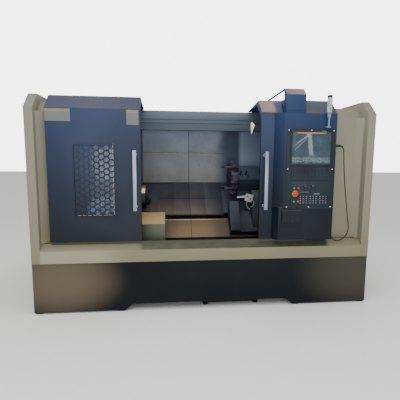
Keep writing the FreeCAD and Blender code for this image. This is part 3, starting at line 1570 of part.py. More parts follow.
def corner_arc(before, corner, after):
    """The arc that rounds one point of a cord's route, as large as its two runs allow."""
    into = corner - before
    out = after - corner
    turn = into.getAngle(out)
    reach = arc_share * min(into.Length, out.Length)
    first = corner - into.normalize() * reach
    last = corner + out.normalize() * reach
    radius = reach / math.tan(turn / 2)
    inward = ((first + last) * 0.5 - corner).normalize()
    middle = corner + inward * (radius / math.cos(turn / 2) - radius)
    return first, middle, last, radius


def tube(points, radius):
    """A round tube along straight runs joined by tangent arcs."""
    edges = []
    here = points[0]
    for before, corner, after in zip(points, points[1:], points[2:]):
        first, middle, last, bend = corner_arc(before, corner, after)
        print(f"lead bend radius {bend:.0f} mm")
        edges.append(Part.LineSegment(here, first).toShape())
        edges.append(Part.Arc(first, middle, last).toShape())
        here = last
    edges.append(Part.LineSegment(here, points[-1]).toShape())
    path = Part.Wire(edges)
    section = tube_section(points[0], points[1] - points[0], radius)
    solid = path.makePipeShell([section], True, False)
    expected = math.pi * radius ** 2 * path.Length
    print(f"lead length {path.Length:.0f} mm, volume over section times length "
          f"{solid.Volume / expected:.4f}")
    return solid


# ================================================================ electric cabinet
def make_case():
    """Electric cabinet on the back: an open case with its drives, and a hinged door."""
    x0 = case_left
    x1 = x0 + case_width
    y0 = front + cover_back
    y1 = rear - case_latch - case_door
    z0 = case_foot
    z1 = z0 + case_height
    shell = run_up(rectangle(x0, x1, y0, y1), z0, z1)
    wall = case_wall
    feature(shell, "Pocket", XY, rectangle(x0 + wall, x1 - wall, y0 + wall, y1), z0 + wall,
            z1 - z0 - wall * 2)
    drives = []
    pitch = (case_width - case_plate * 2) / drive_count
    for number in range(int(drive_count.value)):
        x = x0 + case_plate + pitch * number
        z = z0 + drive_lift
        drives.append(box(x, x + drive_width, y0 + wall, y1 - drive_clear, z, z + drive_height))
    node("electric_case", fuse(shell, *drives, *hinge_leaves(0, y1 + case_door)))
    foot = y1 + seat_gap
    door = run_up(rectangle(x0, x1, foot, y1 + case_door), z0, z1)
    feature(door, "Pocket", XY, rectangle(x0 + wall, x1 - wall, foot, y1 + case_door - wall),
            z0 + wall, z1 - z0 - wall * 2)
    latch_z = z0 + case_height / 2
    latch = box(x1 - case_plate, x1 - case_plate + case_latch_width, y1 + case_door, rear, latch_z,
                latch_z + case_latch_height)
    node("electric_door", fuse(door, latch, *hinge_leaves(1, y1 + case_door)))


def hinge_leaves(upper, y):
    """The lower or upper halves of the two hinges: a barrel on the pivot line and its leaf."""
    leaves = []
    x = case_left - hinge_radius
    for height in (hinge_low, hinge_high):
        z0 = case_foot + height + hinge_height * upper
        z1 = z0 + hinge_height - seat_gap
        leaves.append(prism("Z", hinge_sides, hinge_radius, hinge_height - seat_gap, x, y, z0))
        if upper:
            leaves.append(box(x, case_left + hinge_radius, y - case_wall / 2, y, z0, z1))
        else:
            leaves.append(box(case_left - case_wall, case_left, y - hinge_leaf, y, z0, z1))
    return leaves


make_base()
make_feet()
make_tank()
make_end_cover("left_end_cover", "left")
make_end_cover("right_end_cover", "right")
make_sill()
make_fixed_panel("left_fixed_panel", -inner, panel_edge_left, "left")
make_fixed_panel("right_fixed_panel", panel_edge_right, inner, "right")
make_beam()
make_back_wall()
make_headstock_wall()
make_rear_cover()
make_work_lamp()
make_doors()
make_bed()
make_feed_screw()
make_headstock()
make_spindle()
make_drive()
make_chuck()
make_covers()
make_carriage()
make_cross_slide()
make_turret()
make_pipes()
make_tailstock()
make_apron()
make_guard()
make_cabinet()
make_tower()
make_plate()
make_key_unit()
make_operator_panel()
make_controls()
make_service_box()
make_signal_lamp()
make_lead()
make_case()
doc.recompute()

for thing in doc.Objects:
    if "Invalid" in thing.State or "Error" in thing.State:
        raise RuntimeError(f"{thing.Name} ({thing.Label}) failed: {thing.State}")
for name, thing in nodes.items():
    if thing.Shape.isNull() or not thing.Shape.isValid():
        raise RuntimeError(f"{name} has no valid shape")

os.makedirs("parts", exist_ok=True)
for name, thing in nodes.items():
    thing.Shape.exportStep(f"parts/{name}.step")
print(len(nodes), "sub-parts written")
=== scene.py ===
# %% [markdown]
# # A slant-bed turning lathe
#
# This lesson dresses a lathe whose solids already exist. The solids give the main sizes; here they get their
# finishes, and the small things that a solid model leaves out: screws, keys, strips, rounded edges, smears.
# X runs along the spindle, Y towards the back of the machine, Z up. Finishes, the lead and its sleeves are
# written in metres, and the shapes of the other small pieces in millimetres.

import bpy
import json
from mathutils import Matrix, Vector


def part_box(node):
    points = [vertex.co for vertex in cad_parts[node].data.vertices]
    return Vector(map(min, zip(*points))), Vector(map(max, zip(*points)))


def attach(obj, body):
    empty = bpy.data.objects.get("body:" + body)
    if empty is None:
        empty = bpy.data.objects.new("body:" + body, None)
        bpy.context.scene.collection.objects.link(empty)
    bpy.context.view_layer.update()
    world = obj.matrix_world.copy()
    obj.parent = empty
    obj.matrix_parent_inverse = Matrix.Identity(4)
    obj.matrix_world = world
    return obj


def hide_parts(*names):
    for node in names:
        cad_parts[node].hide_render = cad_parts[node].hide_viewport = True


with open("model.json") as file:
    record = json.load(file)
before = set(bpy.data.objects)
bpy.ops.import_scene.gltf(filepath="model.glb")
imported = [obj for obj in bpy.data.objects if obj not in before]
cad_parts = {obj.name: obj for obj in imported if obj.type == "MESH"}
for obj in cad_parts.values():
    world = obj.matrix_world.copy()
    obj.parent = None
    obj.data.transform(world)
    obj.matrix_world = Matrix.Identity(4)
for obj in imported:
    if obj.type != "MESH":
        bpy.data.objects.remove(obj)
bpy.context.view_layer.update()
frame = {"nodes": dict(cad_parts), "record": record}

# %% Tools of the lesson
import json
import math

import bpy
import bmesh
import numpy as np
from mathutils import Matrix, Vector

scene = bpy.context.scene
nodes = frame["nodes"]
body_of_node = {n: b for b, members in frame["record"]["behaviour"]["bodies"].items() for n in members}

# %% [markdown]
# ## The camera
#
# The photograph was taken standing in front of the machine, a little left of its middle, at eye height. A
# camera can be placed by eye, but straight edges of known length fix it exactly: place, turn, tilt and lens
# are solved from them once, and written here as plain numbers. The three turns are built up one after
# another, so that each keeps its everyday meaning.

# %% Place the camera
def camera_axes(turn, tilt, roll):
    """Right, up and backward axes: the view turned right, tilted down, then rolled about its own line."""
    turn, tilt, roll = np.radians([turn, tilt, roll])
    ahead = np.array([np.sin(turn) * np.cos(tilt), np.cos(turn) * np.cos(tilt), -np.sin(tilt)])
    right = np.array([np.cos(turn), -np.sin(turn), 0.0])
    up = np.cross(right, ahead)
    rolled_right = right * np.cos(roll) + up * np.sin(roll)
    rolled_up = up * np.cos(roll) - right * np.sin(roll)
    return np.column_stack([rolled_right, rolled_up, -ahead])


CAMERA_PLACE, CAMERA_TURNS = (-0.39305, -3.92071, 1.45643), (6.16, 6.86, 0.37)
LENS, SENSOR, SHIFT_X, SHIFT_Y = 30.21, 36.0, -0.00875, 0.0025
camera = bpy.data.objects.new("camera", bpy.data.cameras.new("camera"))
scene.collection.objects.link(camera)
axes = Matrix(camera_axes(*CAMERA_TURNS).tolist()).to_4x4()
camera.matrix_world = Matrix.Translation(CAMERA_PLACE) @ axes
camera.data.sensor_width, camera.data.lens = SENSOR, LENS
camera.data.shift_x, camera.data.shift_y = SHIFT_X, SHIFT_Y
camera.data.clip_end = 100.0
scene.camera = camera
print("camera at", [round(v, 3) for v in camera.location])

# %% [markdown]
# ## The lead
#
# A black lead leaves the side of the control cabinet through a gland, hangs down in a long loop and comes
# back up into an elbow. A lead has one fixed length, so it is drawn first, as one smooth NURBS curve with
# the route's points as control points: the curve rounds every corner by itself. Its thickness comes from
# the curve's bevel.

# %% Hang the lead
LEAD_DIAMETER, ELBOW_DROP = 0.009, 0.038
lead_start = np.array([1.268, -0.769, 1.608])
lead_end = np.array([1.229, -0.733, 0.832])
lead_steps = np.array([(0, 0, 0), (24, 0, 0), (45, 1, -14), (56, 3, -42), (62, 5, -86), (67, 8, -150),
                       (75, 11, -230), (86, 14, -322), (99, 17, -414), (113, 19, -506), (129, 22, -598),
                       (143, 24, -692), (158, 26, -773), (165, 27, -833), (154, 28, -878),
                       (129, 30, -916), (91, 32, -944), (48, 34, -957), (11, 35, -940),
                       (-13, 36, -906), (-25, 36, -863)]) / 1000
lead_route = np.vstack([lead_start + lead_steps, lead_end - (0, 0, ELBOW_DROP), lead_end])


def smooth_curve(name, route, radius):
    """A quadratic NURBS through its end points; each span is the weighted mean of three control points.

    The bevel is one metre deep and the points' own radius scales it down to the lead's.
    """
    curve = bpy.data.curves.new(name, "CURVE")
    curve.dimensions = "3D"
    curve.resolution_u = 8
    curve.bevel_depth = 1.0
    curve.bevel_resolution = 3
    spline = curve.splines.new("NURBS")
    spline.points.add(len(route) - 1)
    spline.points.foreach_set("co", np.column_stack([route, np.ones(len(route))]).ravel())
    spline.points.foreach_set("radius", np.full(len(route), radius))
    spline.order_u = 3
    spline.use_endpoint_u = True
    thing = bpy.data.objects.new(name, curve)
    scene.collection.objects.link(thing)
    return thing


lead = smooth_curve("side_lead", lead_route, LEAD_DIAMETER / 2)
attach(lead, "machine")
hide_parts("lead")
runs = np.linalg.norm(np.diff(lead_route, axis=0), axis=1)
print("lead: control points", len(lead_route), "their runs add up to", round(float(runs.sum()), 3), "m")

# %% [markdown]
# ## The studio
#
# The room is plain: a pale floor, a pale sky from every side, one large soft lamp in front and above for
# shape, one right above for the roofs, and a wide one at chest height that reaches into the working space.
# The sky looks brighter to the camera than it shines on the machine.

# %% Sky and lamps
def soft_lamp(name, place, target, wide, high, power, colour):
    """A rectangular area lamp that looks from its place towards a target."""
    light = bpy.data.lights.new(name, "AREA")
    light.shape = "RECTANGLE"
    light.size, light.size_y = wide, high
    light.energy = power
    light.color = colour
    lamp = bpy.data.objects.new(name, light)
    scene.collection.objects.link(lamp)
    look = (Vector(target) - Vector(place)).to_track_quat("-Z", "Y")
    lamp.matrix_world = Matrix.Translation(place) @ look.to_matrix().to_4x4()


SKY_LIGHT, SKY_SEEN = 0.8, 5.0
world = bpy.data.worlds.new("sky")
world.use_nodes = True
sky_nodes, sky_links = world.node_tree.nodes, world.node_tree.links
sky = sky_nodes["Background"]
sky.inputs["Color"].default_value = (1.0, 1.0, 1.0, 1)
lift = sky_nodes.new("ShaderNodeMapRange")
lift.inputs["To Min"].default_value, lift.inputs["To Max"].default_value = SKY_LIGHT, SKY_SEEN
sky_links.new(sky_nodes.new("ShaderNodeLightPath").outputs["Is Camera Ray"], lift.inputs["Value"])
sky_links.new(lift.outputs[0], sky.inputs["Strength"])
scene.world = world
soft_lamp("front_lamp", (-1.5, -4.5, 4.5), (0, 0, 1.0), 4.0, 2.5, 115, (1.0, 0.98, 0.95))
soft_lamp("low_lamp", (0.2, -6.5, 1.3), (0, 0, 1.3), 5.0, 1.6, 130, (0.97, 0.98, 1.0))
soft_lamp("top_lamp", (0.3, -1.0, 5.0), (0, -0.5, 0), 4.0, 3.0, 110, (0.95, 0.98, 1.0))

# %% [markdown]
# ## Writing finishes as sums
#
# A shader is a net of nodes, but its maths reads better as sums. `Wire` wraps one output socket, and its
# operators add Math nodes; the reflected forms let a plain number stand on the left, as in `1 - mask`. Every
# other node comes from one method, `Finish.add`. Patterns are measured in metres on Object coordinates, so
# they keep their scale on every piece. Colours are written as screen colours from 0 to 255.

# %% Wires
def tone(red, green, blue):
    """The shader's linear colour of a screen colour from 0 to 255: ((c + 0.055) / 1.055) to the 2.4."""
    screen = np.array([red, green, blue]) / 255
    linear = np.where(screen > 0.04045, ((screen + 0.055) / 1.055) ** 2.4, screen / 12.92)
    return (*(float(value) for value in linear), 1.0)


def math_node(operation, reflected=False):
    """A method of Wire that adds one Math node; reflected puts the other value first."""
    def method(self, other=0.0):
        values = (other, self) if reflected else (self, other)
        return self.finish.add("ShaderNodeMath", {"operation": operation}, dict(enumerate(values)))
    return method


class Wire:
    """One output of a node; + - * / ** on it add Math nodes."""

    def __init__(self, finish, socket):
        self.finish, self.socket = finish, socket

    __add__, __radd__ = math_node("ADD"), math_node("ADD", True)
    __sub__, __rsub__ = math_node("SUBTRACT"), math_node("SUBTRACT", True)
    __mul__, __rmul__ = math_node("MULTIPLY"), math_node("MULTIPLY", True)
    __truediv__, __pow__ = math_node("DIVIDE"), math_node("POWER")
    least, most, size = math_node("MINIMUM"), math_node("MAXIMUM"), math_node("ABSOLUTE")

    def step(self, low, high):
        """0 below low, 1 above high, and a smooth curve between."""
        return self.finish.add("ShaderNodeMapRange", {"interpolation_type": "SMOOTHSTEP"},
                               {"Value": self, "From Min": low, "From Max": high})

    def below(self, low, high):
        """1 below low, 0 above high."""
        return 1 - self.step(low, high)

    def band(self, rise, full, fade, end):
        """0 up to rise, 1 from full to fade, 0 again from end."""
        return self.step(rise, full) * self.below(fade, end)

    def line(self, place, half):
        """1 on a line of this half width about a place, 0 beside it."""
        return (self - place).size().below(half * 0.6, half * 1.3)


print("a mid grey of 128 is", round(tone(128, 128, 128)[0], 3), "in linear light")

# %% Finishes
class Finish:
    """A material being written: its shader, its slot among the parts, and one method that adds any node."""

    def __init__(self, name, slot=None, **fixed):
        self.material = bpy.data.materials.new(name)
        self.material.use_nodes = True
        self.slot = slot or name
        self.tree = self.material.node_tree
        self.shader = self.tree.nodes["Principled BSDF"]
        self.set(**{"Roughness": 0.5, **fixed})
        self.where = self.add("ShaderNodeTexCoord", output="Object")
        split = self.add("ShaderNodeSeparateXYZ", {}, {0: self.where}).socket.node
        self.x, self.y, self.z = (Wire(self, socket) for socket in split.outputs)

    def put(self, socket, value):
        """Links a wire, or sets a number, a vector or a screen colour; four numbers are a linear colour."""
        if isinstance(value, Wire):
            self.tree.links.new(value.socket, socket)
        elif isinstance(value, tuple) and len(value) == 3 and len(socket.default_value) == 4:
            socket.default_value = tone(*value)
        else:
            socket.default_value = value

    def add(self, kind, settings=None, sockets=None, output=0):
        """A node: its settings first, then its sockets' values or wires; returns one output."""
        made = self.tree.nodes.new(kind)
        for key, value in (settings or {}).items():
            setattr(made, key, value)
        for key, value in (sockets or {}).items():
            self.put(made.inputs[key], value)
        return Wire(self, made.outputs[output])

    def set(self, **sockets):
        """Sets sockets of the shader itself."""
        for key, value in sockets.items():
            self.put(self.shader.inputs[key.replace("_", " ")], value)
        return self

    def stretched(self, x, y, z):
        """Object coordinates times three scales."""
        return self.add("ShaderNodeVectorMath", {"operation": "MULTIPLY"}, {0: self.where, 1: (x, y, z)})

    def clouds(self, scale, detail=3.0, rough=0.5, place=None, warp=0.0):
        """Soft noise from 0 to 1."""
        return self.add("ShaderNodeTexNoise", {},
                        {"Vector": place or self.where, "Scale": scale, "Detail": detail,
                         "Roughness": rough, "Distortion": warp})

    def mix(self, share, first, second, blend="MIX"):
        """A colour between two colours."""
        return self.add("ShaderNodeMix", {"data_type": "RGBA", "blend_type": blend},
                        {0: share, 6: first, 7: second}, 2)

    def heights(self, stops, top=2.2):
        """A colour that changes with height: stops are (metres above the floor, colour)."""
        ramp = self.add("ShaderNodeValToRGB", {}, {"Fac": self.z / top})
        elements = ramp.socket.node.color_ramp.elements
        for height, _ in stops[1:-1]:
            elements.new(height / top)
        for element, (height, colour) in zip(elements, stops):
            element.position, element.color = height / top, tone(*colour)
        return ramp

    def facing_up(self, low=0.3, high=0.75):
        """0 on a wall, 1 on a flat top: the upward part of the face's direction."""
        normal = self.add("ShaderNodeNewGeometry", output="Normal")
        return self.add("ShaderNodeSeparateXYZ", {}, {0: normal}, 2).step(low, high)

    def oval(self, x, z, half_x, half_z, rim):
        """1 in the middle of an oval seen from the front: 1 - (dx / a)^2 - (dz / b)^2, stepped over rim."""
        return (1 - (((self.x - x) / half_x) ** 2 + ((self.z - z) / half_z) ** 2)).step(*rim)

    def over(self, *layers):
        """Lays each (share, colour) over the tone that the finish has so far."""
        for share, colour in layers:
            self.tone = self.mix(share, self.tone, colour)
        return self.set(Base_Color=self.tone)

    def bump(self, height, strength, distance=0.001):
        """Turns a height into the shader's normal."""
        return self.set(Normal=self.add("ShaderNodeBump", {},
                                        {"Height": height, "Strength": strength, "Distance": distance}))


print("a finish can", [name for name in vars(Finish) if not name.startswith("_")])

# %% [markdown]
# ## Paint on sheet metal
#
# Machine paint is a thin plastic skin. What tells it from a flat colour is small: an orange-peel texture
# that only shows where light glances, a slow drift of the colour, a duller film of dust near the floor, and
# finger smears where people touch it. Each is one mask over Object coordinates. The colour also changes with
# height, and that is painted shade: darker towards the floor. A second colour lies on all that faces up: dust
# and oil mist on some paints, a painted reflection of the room on the navy ones and a painted highlight on
# the beam.

# %% Paints
def paint(name, slot, stops, top_dust_and_light, share=0.8, gloss=0.42):
    """Paint whose colour changes with height, as painted shade, with drift, smears, peel and dust at the
    foot.

    The colour on top is dust and oil mist on some paints, a painted reflection on the navy ones and a painted
    highlight on the beam; share is how far it covers the paint on a face that looks straight up.
    """
    made = Finish(name, slot, Specular_IOR_Level=0.25)
    fine = made.clouds(9.0, 4.0, 0.6)
    base = made.heights(stops)
    darker = made.mix(1.0, base, (0.7, 0.72, 0.76, 1.0), "MULTIPLY")
    drifted = made.mix((made.clouds(1.7, 2.0) * 1.6 - 0.3) * 0.3, base, darker)
    smears = made.clouds(5.0, 3.0, 0.6, made.stretched(1.0, 1.0, 0.35), 0.6)
    made.tone = made.mix(made.z.below(0.0, 0.35) * fine * 0.25, drifted, (120, 112, 96))
    top = made.facing_up()
    made.over((top * share * (0.7 + fine * 0.5).least(1.0), top_dust_and_light))
    made.set(Roughness=gloss + smears * 0.16 + top * 0.12)
    return made.bump(made.clouds(420.0, 1.0), 0.25, 0.0004)


# Height stops of the paints: painted shade, darker towards the floor.
NAVY = [(0.65, (9, 16, 24)), (1.1, (24, 32, 48)), (1.65, (40, 51, 76)), (2.1, (47, 62, 94))]
CASE_NAVY = [(0.65, (9, 17, 23)), (1.1, (12, 20, 32)), (1.65, (23, 40, 70)), (2.1, (38, 58, 92))]
CREAM = [(0.45, (120, 118, 92)), (1.0, (128, 124, 104)), (2.0, (128, 127, 112))]
PALE_CREAM = [(0.45, (120, 116, 92)), (1.3, (132, 130, 110)), (2.0, (130, 129, 112))]
navy = paint("navy_paint", None, NAVY, (72, 70, 82))
door_navy = paint("door_navy", "navy_paint", NAVY, (150, 120, 104))
tower_navy = paint("tower_navy", "navy_paint", CASE_NAVY, (128, 108, 104))
cabinet_navy = paint("cabinet_navy", "navy_paint", CASE_NAVY, (66, 66, 66), 0.7)
cream = paint("cream_paint", None, CREAM, (38, 40, 28), 0.9, 0.46)
left_cream = paint("left_cream", "cream_paint", CREAM, (120, 116, 100), 0.8, 0.46)
right_cream = paint("right_cream", "cream_paint", PALE_CREAM, (110, 108, 90), 0.8, 0.46)
# The beam's upward faces get a pale painted highlight along its top edge.
beam_paint = paint("beam_paint", None, [(1.76, (62, 74, 84)), (1.9, (76, 90, 98)), (2.0, (92, 108, 114))],
                   (190, 192, 178), 0.95, 0.38)
# The tailstock's paint is darkest at its foot, a painted shade.
tail_navy = paint("tailstock_paint", "navy_paint",
                  [(0.68, (18, 22, 28)), (0.84, (40, 48, 54)), (1.2, (60, 70, 80))], (60, 62, 68), 0.6)
slide_navy = paint("slide_paint", "navy_paint", [(1.0, (50, 60, 74)), (1.4, (62, 74, 90))], (56, 66, 80), 0.6)
case_paint = paint("case_paint", None, [(0.5, (140, 136, 120)), (1.9, (156, 152, 138))], (120, 116, 100),
                   0.8, 0.48)
print("paints:", len(bpy.data.materials))

# %% [markdown]
# Some paints change along the machine too. A painted reflection of the sky makes the right door's curved roof
# look blue where its sheet bends over. Under the doors the sill's top is dark, and its ends stay pale, and
# the sill's upright ledge under the doors carries painted shade. The right fixed panel is darker in the bend
# towards its end cover, a painted shade, and two fold lines, one upright and one level, are lines of painted
# shade across the outside of both covers.

# %% Changes along the machine
# A painted reflection of the sky: blue on the right door's curved roof.
door_navy.over((door_navy.x.step(0.63, 0.66) * door_navy.facing_up(0.1, 0.3) * 0.9, (42, 60, 94)))
navy.over((navy.x.step(-1.15, -0.62) * 0.4, (22, 28, 42)))
beside = cream.x.below(-0.68, -0.62).most(cream.x.step(1.2, 1.24)) * cream.facing_up()
near_end = cream.x.below(-1.1, -0.7) * cream.z.below(0.6, 0.64) * 0.6
# Painted shade on the sill's upright ledge under the doors.
ledge_shade = cream.z.step(0.655, 0.66) * (1 - cream.facing_up()) * 0.8
cream.over((near_end, (158, 156, 132)), (beside * 0.85, (124, 120, 96)), (ledge_shade, (36, 35, 30)))
# Painted shade in the right fixed panel's bend towards its end cover.
bend = right_cream.x.band(1.43, 1.56, 1.568, 1.572) * (1 - right_cream.z.step(1.4, 2.0) * 0.6)
right_cream.over((bend * right_cream.y.below(-0.7, -0.69) * 0.75, (80, 80, 68)))
for made in (left_cream, right_cream):
    # Two fold lines on each end cover, drawn as lines of painted shade.
    fold_shade = (made.y.line(0.02, 0.0018) + made.z.line(1.31, 0.0018)).least(1.0)
    made.over((fold_shade * made.x.size().step(1.648, 1.6495) * 0.8, (44, 42, 36)))
print("the sill has", len(cream.tree.nodes), "nodes")

# %% [markdown]
# ## Bare and coated metal
#
# Steel shows how it was worked. Rolled sheet has fine lines in one direction and cloudy stains from coolant;
# ground faces have the same lines, brighter; cast iron is paint over a sandy skin. Each finish stretches a
# noise along one axis to draw the lines, and lets a second, slow noise change the gloss.

# %% Metals and plastics
ALONG_X, ALONG_Z = (6.0, 900.0, 900.0), (900.0, 900.0, 6.0)


def brushed(name, slot, light, dark, lines, gloss=0.32, depth=0.12, stain=0.3):
    """Metal with fine lines: noise squeezed across the lines, stains from a slow noise."""
    made = Finish(name, slot, Metallic=1.0)
    grain = made.clouds(1.0, 2.0, 0.6, made.stretched(*lines))
    stains = made.clouds(3.1, 4.0, 0.65, None, 0.8)
    worn = made.mix(stains.step(0.42, 0.72) * stain * 2, light, dark)
    made.set(Base_Color=made.mix(grain * 0.35, worn, dark),
             Roughness=gloss + grain * 0.14 + stains * stain * 0.4)
    return made.bump(grain, depth, 0.0003)


def coated(name, slot, light, dark, scale, gloss=0.5, depth=0.3, metallic=0.0, coat=0.0):
    """Plastic, rubber or blackened metal: a grained skin with a drifting tone."""
    made = Finish(name, slot, Metallic=metallic, Coat_Weight=coat, Specular_IOR_Level=0.3)
    slow = made.clouds(6.0, 3.0)
    grain = made.clouds(scale, 2.0, 0.6)
    made.set(Base_Color=made.mix(slow * 0.7 + grain * 0.3, light, dark), Roughness=gloss + slow * 0.12)
    return made.bump(grain, depth, 0.0004)


ground = brushed("ground_steel", None, (176, 178, 182), (120, 122, 128), ALONG_X, 0.26)
chuck_steel = brushed("chuck_steel", "ground_steel", (62, 64, 68), (34, 36, 40), ALONG_X, 0.32, 0.1, 0.3)
jaw_steel = brushed("jaw_steel", "ground_steel", (50, 54, 60), (30, 33, 38), ALONG_X, 0.34, 0.1, 0.3)
pipe_steel = brushed("pipe_steel", "ground_steel", (88, 96, 108), (52, 58, 68), ALONG_X, 0.3, 0.05, 0.3)
chromed = brushed("chrome", None, (225, 226, 228), (196, 197, 202), ALONG_X, 0.1, 0.02, 0.1)
handle_metal = brushed("handle_metal", None, (152, 155, 172), (118, 121, 138), ALONG_Z, 0.36, 0.05, 0.15)
black_steel = coated("black_steel", None, (52, 50, 56), (28, 27, 32), 600, 0.42, 0.2, 0.6)
tool_steel = coated("tool_steel", "black_steel", (78, 70, 86), (42, 42, 52), 500, 0.4, 0.2, 0.6)
tab_metal = coated("tab_metal", "handle_metal", (186, 186, 166), (140, 140, 128), 90, 0.35, 0.05)
rubber = coated("rubber", None, (22, 22, 23), (11, 11, 12), 900, 0.62, 0.2)
black_plastic = coated("black_plastic", None, (30, 32, 37), (17, 18, 22), 1400, 0.45, 0.15)
red_plastic = coated("red_plastic", None, (205, 48, 34), (158, 26, 22), 500, 0.34, 0.05, 0.0, 0.2)
green_plastic = coated("green_plastic", None, (30, 140, 98), (14, 100, 70), 500, 0.34, 0.05, 0.0, 0.2)
mast_plastic = coated("mast_plastic", "lamp_plastic", (120, 146, 160), (84, 110, 126), 400, 0.4, 0.1)
lamp_white = coated("lamp_white", "lamp_plastic", (238, 232, 236), (214, 206, 214), 300, 0.3, 0.02)
yellow_plastic, white_plastic, grey_plastic, bead_plastic, pale_metal, pale_plate, pale_band = (
    coated(name, "panel_plastic", *look) for name, *look in (
        ("yellow_plastic", (196, 168, 84), (160, 132, 58), 500, 0.42, 0.1),
        ("white_plastic", (188, 190, 190), (150, 154, 158), 700, 0.4, 0.1),
        ("grey_plastic", (124, 132, 138), (88, 98, 106), 700, 0.4, 0.1),
        ("bead_plastic", (150, 156, 160), (116, 122, 128), 300, 0.35, 0.05),
        ("pale_metal", (172, 174, 168), (136, 140, 138), 300, 0.4, 0.1),
        ("pale_plate", (112, 118, 114), (84, 90, 92), 60, 0.4, 0.05),
        ("pale_band", (140, 130, 100), (112, 106, 84), 80, 0.4, 0.05)))
# A painted highlight: tan on the chuck's upward faces, its dark steel below.
lit = chuck_steel.mix(chuck_steel.clouds(9.0, 3.0) * 0.3, (206, 182, 158), (150, 134, 120))
worn = chuck_steel.mix(chuck_steel.clouds(6.0, 3.0), (62, 64, 68), (34, 36, 40))
chuck_steel.set(Base_Color=chuck_steel.mix(chuck_steel.facing_up(0.38, 0.5), worn, lit))
glow = lamp_white.mix(lamp_white.clouds(20.0), (255, 250, 255), (236, 222, 236))
lamp_white.set(Emission_Color=glow, Emission_Strength=0.35)
print("with metals and plastics:", len(bpy.data.materials))

# %% [markdown]
# ## Linings and castings
#
# The working space is lined with stainless sheet that years of coolant have dulled. Two sheets meet at an
# upright seam in the middle, and a level seam carries a broken yellow line, a painted highlight. The wall is
# painted lighter towards the top and in its upper right corner, painted light against the shade there. To the
# right, behind the turret, the wall is painted dark blue: painted shade and a painted reflection of the
# turret.
# The way covers are darker: grey where they are steep, brown towards their foot, where they meet a tan apron.
# That change by height is partly painted light, lighter where the cover flattens, and the crease across the
# covers is a line of painted shade. Covers and apron are painted darker towards the right, as shade, and the
# apron carries a painted highlight along its top edge. Each of these is a colour by height or by place along
# the spindle, laid over fine lines and soft clouds.
#
# The base is one casting, painted dark: its front shines dimly, warm at the left and olive at the right,
# because it mirrors the room. That glow is paint here, so it stays when the view moves.

# %% Linings and castings
SEAM_X = -0.128


def lining(name, slot, stops, grain_way=ALONG_Z, metallic=0.35):
    """Dull stainless: a colour by height, fine lines one way and large soft clouds."""
    made = Finish(name, slot, Metallic=metallic, Specular_IOR_Level=0.3)
    grain = made.clouds(1.0, 2.0, 0.6, made.stretched(*grain_way))
    clouds = made.clouds(1.9, 4.0, 0.5)
    base = made.heights(stops)
    darker = made.mix(1.0, base, (0.72, 0.72, 0.72, 1.0), "MULTIPLY")
    made.tone = made.mix(clouds.step(0.36, 0.64) * 0.75 + grain * 0.2, base, darker)
    made.set(Base_Color=made.tone, Roughness=0.42 + clouds * 0.2 + grain * 0.1)
    return made.bump(grain * 0.4 + clouds, 0.12, 0.0006)


def casting(name, slot, light, dark):
    """Painted iron: sandy skin and runs of oil."""
    made = Finish(name, slot, Specular_IOR_Level=0.14)
    sand = made.clouds(170.0, 4.0, 0.7)
    slow = made.clouds(2.3, 3.0, 0.55)
    runs = made.clouds(1.0, 3.0, 0.6, made.stretched(7.0, 7.0, 0.8))
    made.tone = made.mix(slow, light, dark)
    made.over((runs.step(0.55, 0.8) * 0.4, (20, 20, 20)))
    made.set(Roughness=0.42 + sand * 0.16 + slow * 0.1)
    return made.bump(sand, 0.35, 0.0009)


# The wall's colour by height is partly painted light: lighter towards the top.
wall = lining("wall_steel", None, [(1.2, (108, 108, 108)), (1.55, (122, 126, 132)), (1.9, (158, 174, 196))])
# Layers: dark blotches, the dark level seam, a broken yellow painted highlight along it, the dark upright
# seam, painted shade and a painted reflection of the turret in dark blue to the right, and painted light in
# the upper right corner.
wall.over((wall.clouds(24.0, 3.0, 0.6).step(0.55, 0.75) * 0.25, (60, 64, 70)),
          (wall.z.line(1.5485, 0.0035) * 0.6, (34, 36, 40)),
          (wall.z.line(1.5415, 0.004) * wall.clouds(34.0, 2.0).step(0.4, 0.55) * 0.85, (150, 142, 100)),
          (wall.x.line(SEAM_X, 0.004) * 0.8, (30, 32, 36)),
          ((wall.x + wall.clouds(3.0, 3.0) * 0.25).step(0.32, 0.5) * 0.92, (62, 76, 97)),
          (wall.x.step(0.48, 0.54) * wall.z.step(1.25, 1.5) * 0.85, (150, 168, 192)))
# Colours by height for the way covers, partly painted light: brown and lighter at the foot where the cover
# flattens, darker up the steep part.
STEEP = [(0.83, (92, 84, 74)), (0.95, (72, 68, 64))]
ways = lining("cover_steel", None, STEEP + [(0.985, (66, 64, 67)), (1.0, (60, 58, 62)), (1.17, (78, 79, 86))],
              ALONG_X, 0.3)
# Layers: the cover's crease as a line of painted shade, the dark seam, and painted shade towards the right.
ways.over((ways.z.line(1.0035, 0.004) * 0.7, (28, 28, 32)), (ways.x.line(SEAM_X, 0.004) * 0.7, (26, 26, 30)),
          (ways.x.step(-0.05, 0.3) * 0.8, (46, 52, 64)))
apron = lining("apron_steel", None, [(0.58, (122, 98, 74)), (0.7, (108, 88, 64)), (0.78, (92, 76, 54))],
               ALONG_X, 0.2)
